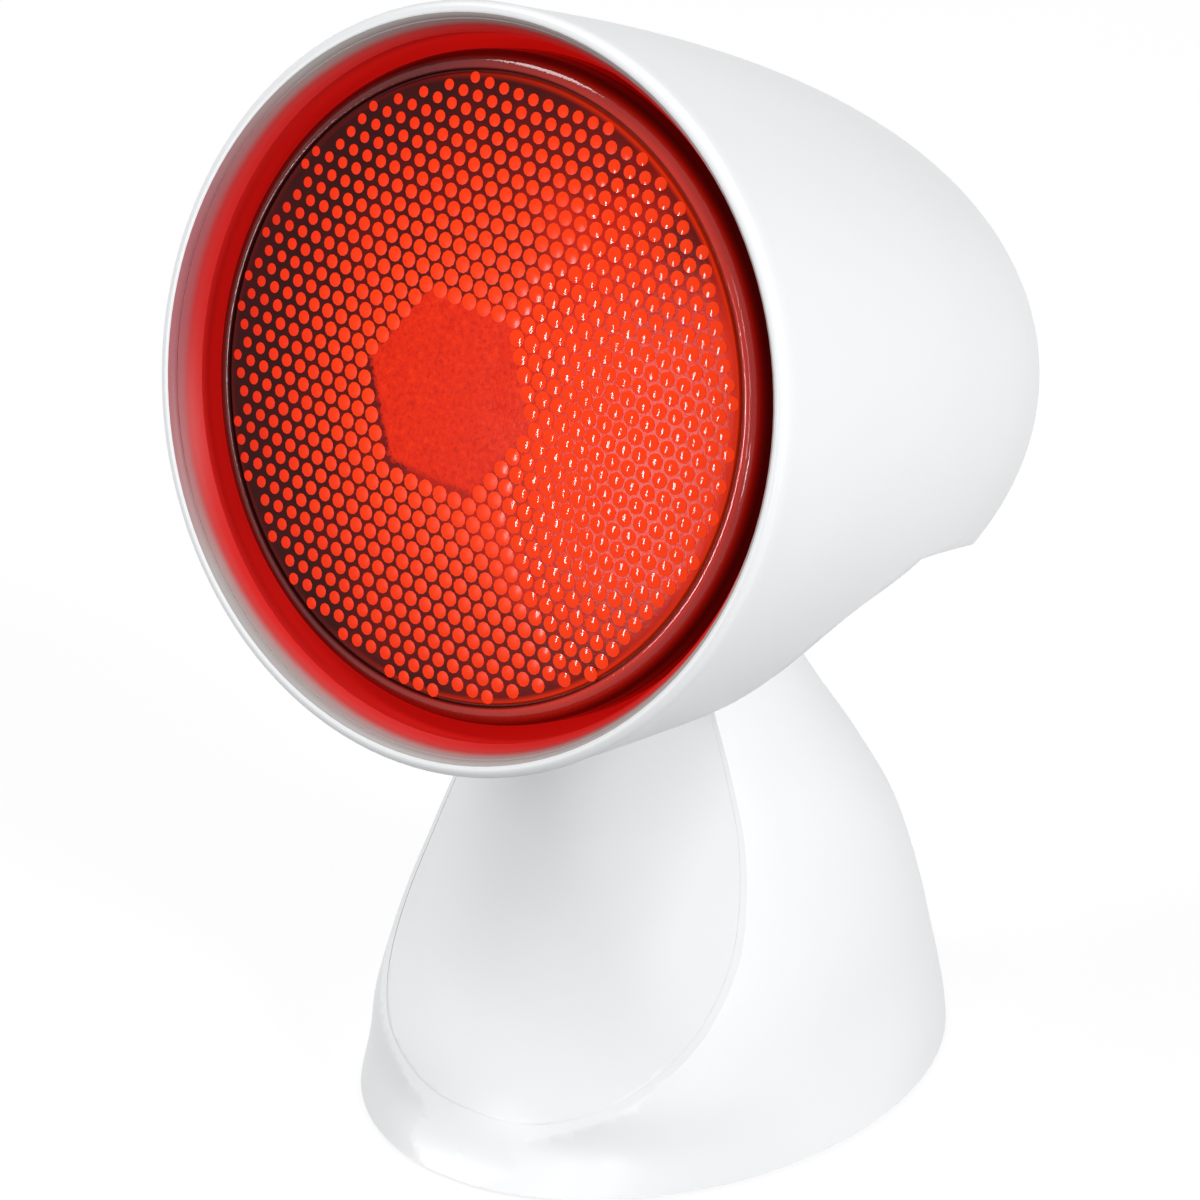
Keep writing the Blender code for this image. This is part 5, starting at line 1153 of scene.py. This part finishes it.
    @staticmethod
    def rod(start: Vector, end: Vector, radius: float, count: int = 32) -> bpy.types.Object:
        """Round tool between two points."""
        along = end - start
        turn = along.to_track_quat("Z", "Y")
        outline = [start + turn @ Vector((radius * math.cos(math.tau * step / count),
                                          radius * math.sin(math.tau * step / count), 0.0)) for step in range(count)]
        return Bench.prism("rod", outline, along)

    @staticmethod
    def block(low: Sequence[float], high: Sequence[float]) -> bpy.types.Object:
        """Box-shaped tool between two corners."""
        outline = [Vector((x, y, low[2])) for x, y in ((low[0], low[1]), (high[0], low[1]), (high[0], high[1]),
                                                       (low[0], high[1]))]
        return Bench.prism("block", outline, Vector((0, 0, high[2] - low[2])))

    def build_shell(self) -> None:
        """Outer shell with the panel's seat, posts, shelf and the rear pocket."""
        shell = self.bell("foot_shell", 0.0, 0.0, self.height)
        seat = self.bell("seat", self.edge, -2 * MM, self.height + 2 * MM)
        Bench.join(seat, self.sheet_block("seat_front", None, self.wall + 0.3 * MM, self.panel_foot - 0.3 * MM),
                   Joining.KEEP)
        Bench.join(shell, self.sheet_block("front", None, 0.0, -2 * MM), Joining.CUT)
        Bench.join(shell, seat, Joining.CUT)
        hollow = self.bell("hollow", self.wall, -2 * MM, self.height + 2 * MM, 24)
        posts = [(side * x * MM, y * MM) for x, y in self.post_places for side in (-1, 1)]
        for x, y in posts:
            Bench.join(hollow, self.rod(Vector((x, y, 3.1 * MM)), Vector((x, y, 50 * MM)), 4.2 * MM), Joining.CUT)
        Bench.join(hollow, self.block((-0.2, -0.2, 66 * MM), (0.2, 0.2, 69 * MM)), Joining.CUT)
        pocket = self.block((-14.5 * MM, self.pocket_floor - self.wall, 3.1 * MM), (14.5 * MM, 0.2, 47.5 * MM))
        Bench.join(hollow, pocket, Joining.CUT)
        Bench.join(shell, hollow, Joining.CUT)
        Bench.join(shell, self.block((-12 * MM, self.pocket_floor, 5.25 * MM), (12 * MM, 0.2, 45 * MM)), Joining.CUT)
        z = self.switch_height
        Bench.join(shell, self.block((-6.5 * MM, 40 * MM, z - 9.5 * MM), (6.5 * MM, 0.2, z + 9.5 * MM)), Joining.CUT)
        low, gland = 65 * MM, self.gland_height
        for start, end, radius in (((0, 40 * MM, gland), (0, 0.2, gland), 5.3 * MM),
                                   ((0, 0, low), (0, 0, 70 * MM), 3.6 * MM),
                                   ((-10 * MM, 0, low), (-10 * MM, 0, 74 * MM), 1.5 * MM),
                                   ((10 * MM, 0, low), (10 * MM, 0, 74 * MM), 1.5 * MM)):
            Bench.join(shell, self.rod(Vector(start), Vector(end), radius), Joining.CUT)
        for x, y in posts:
            Bench.join(shell, self.rod(Vector((x, y, 2 * MM)), Vector((x, y, 11 * MM)), 1.5 * MM, 16), Joining.CUT)
        Bench.settle(shell, FOOT_PLACE)
        self.dress(shell, Finishes.white, "white_plastic", "base_shell", angle=30.0)

    def build_panel(self) -> None:
        """Teardrop shield: the bell moved in, kept between two sheets that follow the panel's face."""
        panel = self.bell("front_shield", self.edge + self.gap, -2 * MM, self.panel_top)
        Bench.join(panel, self.sheet_block("sheet", 0.0, self.wall, self.panel_foot), Joining.KEEP)
        Bench.settle(panel, FOOT_PLACE)
        self.dress(panel, Finishes.white, "white_plastic", "front_panel", angle=30.0)

    def build_pads(self) -> None:
        """Four rubber pads, turned once and copied."""
        pattern = Bench.turned("pad", [Ring(r * MM, (0, 0, z * MM)) for r, z in self.pad_profile], 40)
        for number, (x, y) in enumerate(self.pad_places, 1):
            pad = bpy.data.objects.new(f"rubber_pad_{number}", pattern.data.copy())
            bpy.context.scene.collection.objects.link(pad)
            Bench.settle(pad, Matrix.Translation(Vector((x * MM, y * MM, 0.0))))
            self.dress(pad, Finishes.rubber, "rubber", f"foot_pad_{number}")
        bpy.data.objects.remove(pattern, do_unlink=True)

    def build(self) -> None:
        """Build the foot."""
        self.build_shell()
        self.build_panel()
        self.build_pads()
        self.refine("base_plate", Finishes.grey, "grey_plastic", 0.3 * MM)
        self.refine("hinge_fork", Finishes.white, "white_plastic", 0.4 * MM)
        for side in ("left", "right"):
            self.refine("pivot_bolt_" + side, Finishes.steel, "steel", 0.35 * MM)
            self.refine("friction_washer_" + side, Finishes.grey, "grey_plastic", 0.1 * MM)
        for number in range(1, 5):
            self.refine_screw(f"base_screw_{number}")
        self.refine("switch_housing", Finishes.black, "black_plastic", 0.35 * MM)
        self.refine("cord_gland", Finishes.grey, "grey_plastic", 0.3 * MM)
        self.refine("gland_nut", Finishes.grey, "grey_plastic", 0.2 * MM)
        self.keep(Finishes.cast, "counterweight")
        self.keep(Finishes.steel, "weight_screw", "fork_screw_left", "fork_screw_right", "detent_spring",
                  "terminal_screw_left", "terminal_screw_right")
        self.keep(Finishes.brass, "switch_terminal_lower", "switch_terminal_upper")
        self.keep(Finishes.grey, "terminal_block")
        self.keep(Finishes.sleeve, "base_lead_left", "base_lead_right", "switch_lead")


@dataclass
class Rocker(Assembly):
    """Rocker of the mains switch."""

    body: Body = Body.ROCKER

    def build(self) -> None:
        """Finish the rocker."""
        self.refine("switch_rocker", Finishes.black, "black_plastic", 0.5 * MM)
        for name, upper in (("on_mark", True), ("off_mark", False)):
            self.build_mark(name, upper)

    def build_mark(self, name: str, upper: bool) -> None:
        """Printed bar or ring on one half of the rocker's face.

        Args:
            name: name of the mark.
            upper: whether it is the bar on the upper half, or else the ring on the lower half.
        """
        rocker = Bench.merged_copy("switch_rocker")
        middle = sum((vertex.co for vertex in rocker.data.vertices), Vector()) / len(rocker.data.vertices)
        faces = [face for face in rocker.data.polygons if face.normal.y > 0.85 and (face.center.z > middle.z) == upper]
        area = sum(face.area for face in faces)
        seat = sum((face.center * face.area for face in faces), Vector()) / area
        facing = sum((face.normal * face.area for face in faces), Vector()).normalized()
        bpy.data.objects.remove(rocker, do_unlink=True)
        if upper:
            outline = [Vector((x * 1.5 * MM, y * 0.3 * MM, -0.1 * MM)) for x, y in SQUARE]
            mark = Bench.prism(name, outline, Vector((0.0, 0.0, 0.14 * MM)))
        else:
            mark = Bench.turned(name, [Ring(radius * MM, (0, 0, depth * MM)) for radius, depth in
                                       ((1.5, -0.1), (1.5, 0.04), (0.95, 0.04), (0.95, -0.1))], 32, looped=True)
        Bench.settle(mark, Matrix.Translation(seat) @ facing.to_track_quat("Z", "X").to_matrix().to_4x4())
        self.dress(mark, Finishes.print, "white_plastic")


# Studio

@dataclass
class Studio:
    """Camera, pale floor, world and lamps."""

    target: tuple[float, float, float] = (-0.0135, -0.0079, 0.0919)
    azimuth: float = math.radians(37.5)
    elevation: float = math.radians(25.9)
    distance: float = 1.5
    lens: float = 238.365
    world: float = 0.20

    def camera(self) -> None:
        """Place the camera."""
        data = bpy.data.cameras.new("camera")
        data.lens, data.sensor_width, data.clip_end = self.lens, 36.0, 50.0
        camera = bpy.data.objects.new("camera", data)
        bpy.context.scene.collection.objects.link(camera)
        away = Vector((math.sin(self.azimuth) * math.cos(self.elevation),
                       -math.cos(self.azimuth) * math.cos(self.elevation), math.sin(self.elevation)))
        camera.location = Vector(self.target) + away * self.distance
        camera.rotation_euler = (-away).to_track_quat("-Z", "Y").to_euler()
        bpy.context.scene.camera = camera

    @staticmethod
    def seen_directly(tree: bpy.types.NodeTree) -> bpy.types.NodeSocket:
        """Share that is 1 for camera, glossy and transmission rays."""
        path = tree.nodes.new("ShaderNodeLightPath")
        total = path.outputs["Is Camera Ray"]
        for name in ("Is Glossy Ray", "Is Transmission Ray"):
            added = tree.nodes.new("ShaderNodeMath")
            added.operation = "MAXIMUM"
            tree.links.new(total, added.inputs[0])
            tree.links.new(path.outputs[name], added.inputs[1])
            total = added.outputs[0]
        return total

    def backdrop(self) -> None:
        """White world and a pale floor that keeps the object's shadow."""
        world = bpy.data.worlds.new("studio")
        world.use_nodes = True
        tree = world.node_tree
        background = tree.nodes["Background"]
        background.inputs["Color"].default_value = (1, 1, 1, 1)
        level = tree.nodes.new("ShaderNodeMapRange")
        level.inputs[3].default_value, level.inputs[4].default_value = self.world, 1.0
        tree.links.new(self.seen_directly(tree), level.inputs[0])
        tree.links.new(level.outputs[0], background.inputs["Strength"])
        bpy.context.scene.world = world

        bpy.ops.object.select_all(action="DESELECT")
        bpy.ops.mesh.primitive_plane_add(size=12.0, location=(0, 0, 0))
        floor = bpy.context.object
        floor.name = "floor"
        material = bpy.data.materials.new("pale_floor")
        material.use_nodes = True
        tree = material.node_tree
        shader = tree.nodes["Principled BSDF"]
        shader.inputs["Base Color"].default_value = (0.20, 0.20, 0.20, 1)
        shader.inputs["Roughness"].default_value = 1.0
        shader.inputs["Specular IOR Level"].default_value = 0.0
        shader.inputs["Emission Color"].default_value = (1, 1, 1, 1)
        level = tree.nodes.new("ShaderNodeMath")
        level.operation = "MULTIPLY"
        level.inputs[1].default_value = 0.85
        tree.links.new(self.seen_directly(tree), level.inputs[0])
        tree.links.new(level.outputs[0], shader.inputs["Emission Strength"])
        floor.data.materials.append(material)

    def lamp(self, name: str, place: Sequence[float], size: tuple[float, float], power: float,
             aim: Sequence[float]) -> None:
        """Rectangular lamp.

        Args:
            name: name of the lamp.
            place: its place.
            size: its width and height.
            power: its power in watts.
            aim: point that it faces.
        """
        data = bpy.data.lights.new(name, "AREA")
        data.shape, data.energy = "RECTANGLE", power
        data.size, data.size_y = size
        lamp = bpy.data.objects.new(name, data)
        bpy.context.scene.collection.objects.link(lamp)
        lamp.location = place
        lamp.rotation_euler = (Vector(aim) - Vector(place)).to_track_quat("-Z", "Y").to_euler()

    def build(self) -> None:
        """Build the studio."""
        self.camera()
        self.backdrop()
        middle = (0.0, 0.0, 0.1)
        self.lamp("right_softbox", (1.60, -0.10, 0.85), (0.8, 0.8), 27.0, middle)
        self.lamp("left_softbox", (-0.78, -0.48, 1.30), (0.5, 0.5), 10.0, middle)
        self.lamp("front_strip", (-0.69, -1.62, 0.25), (0.09, 0.34), 6.6, middle)
        self.lamp("edge_strip", (0.98, -1.46, 0.25), (0.07, 0.30), 2.8, middle)
        self.lamp("tall_strip", (0.46, -1.77, 0.84), (0.035, 1.0), 3.2, (0.0, -0.066, 0.16))
        bpy.context.scene.view_settings.view_transform = "Standard"


def main() -> None:
    """Build the lamp's assemblies and the studio."""
    logging.basicConfig(level=logging.INFO, format="%(message)s")
    for assembly in (Shade(), Liner(), Bulb(), Underside(), Foot(), Rocker()):
        assembly.build()
    Studio().build()


if __name__ == "__main__":
    main()
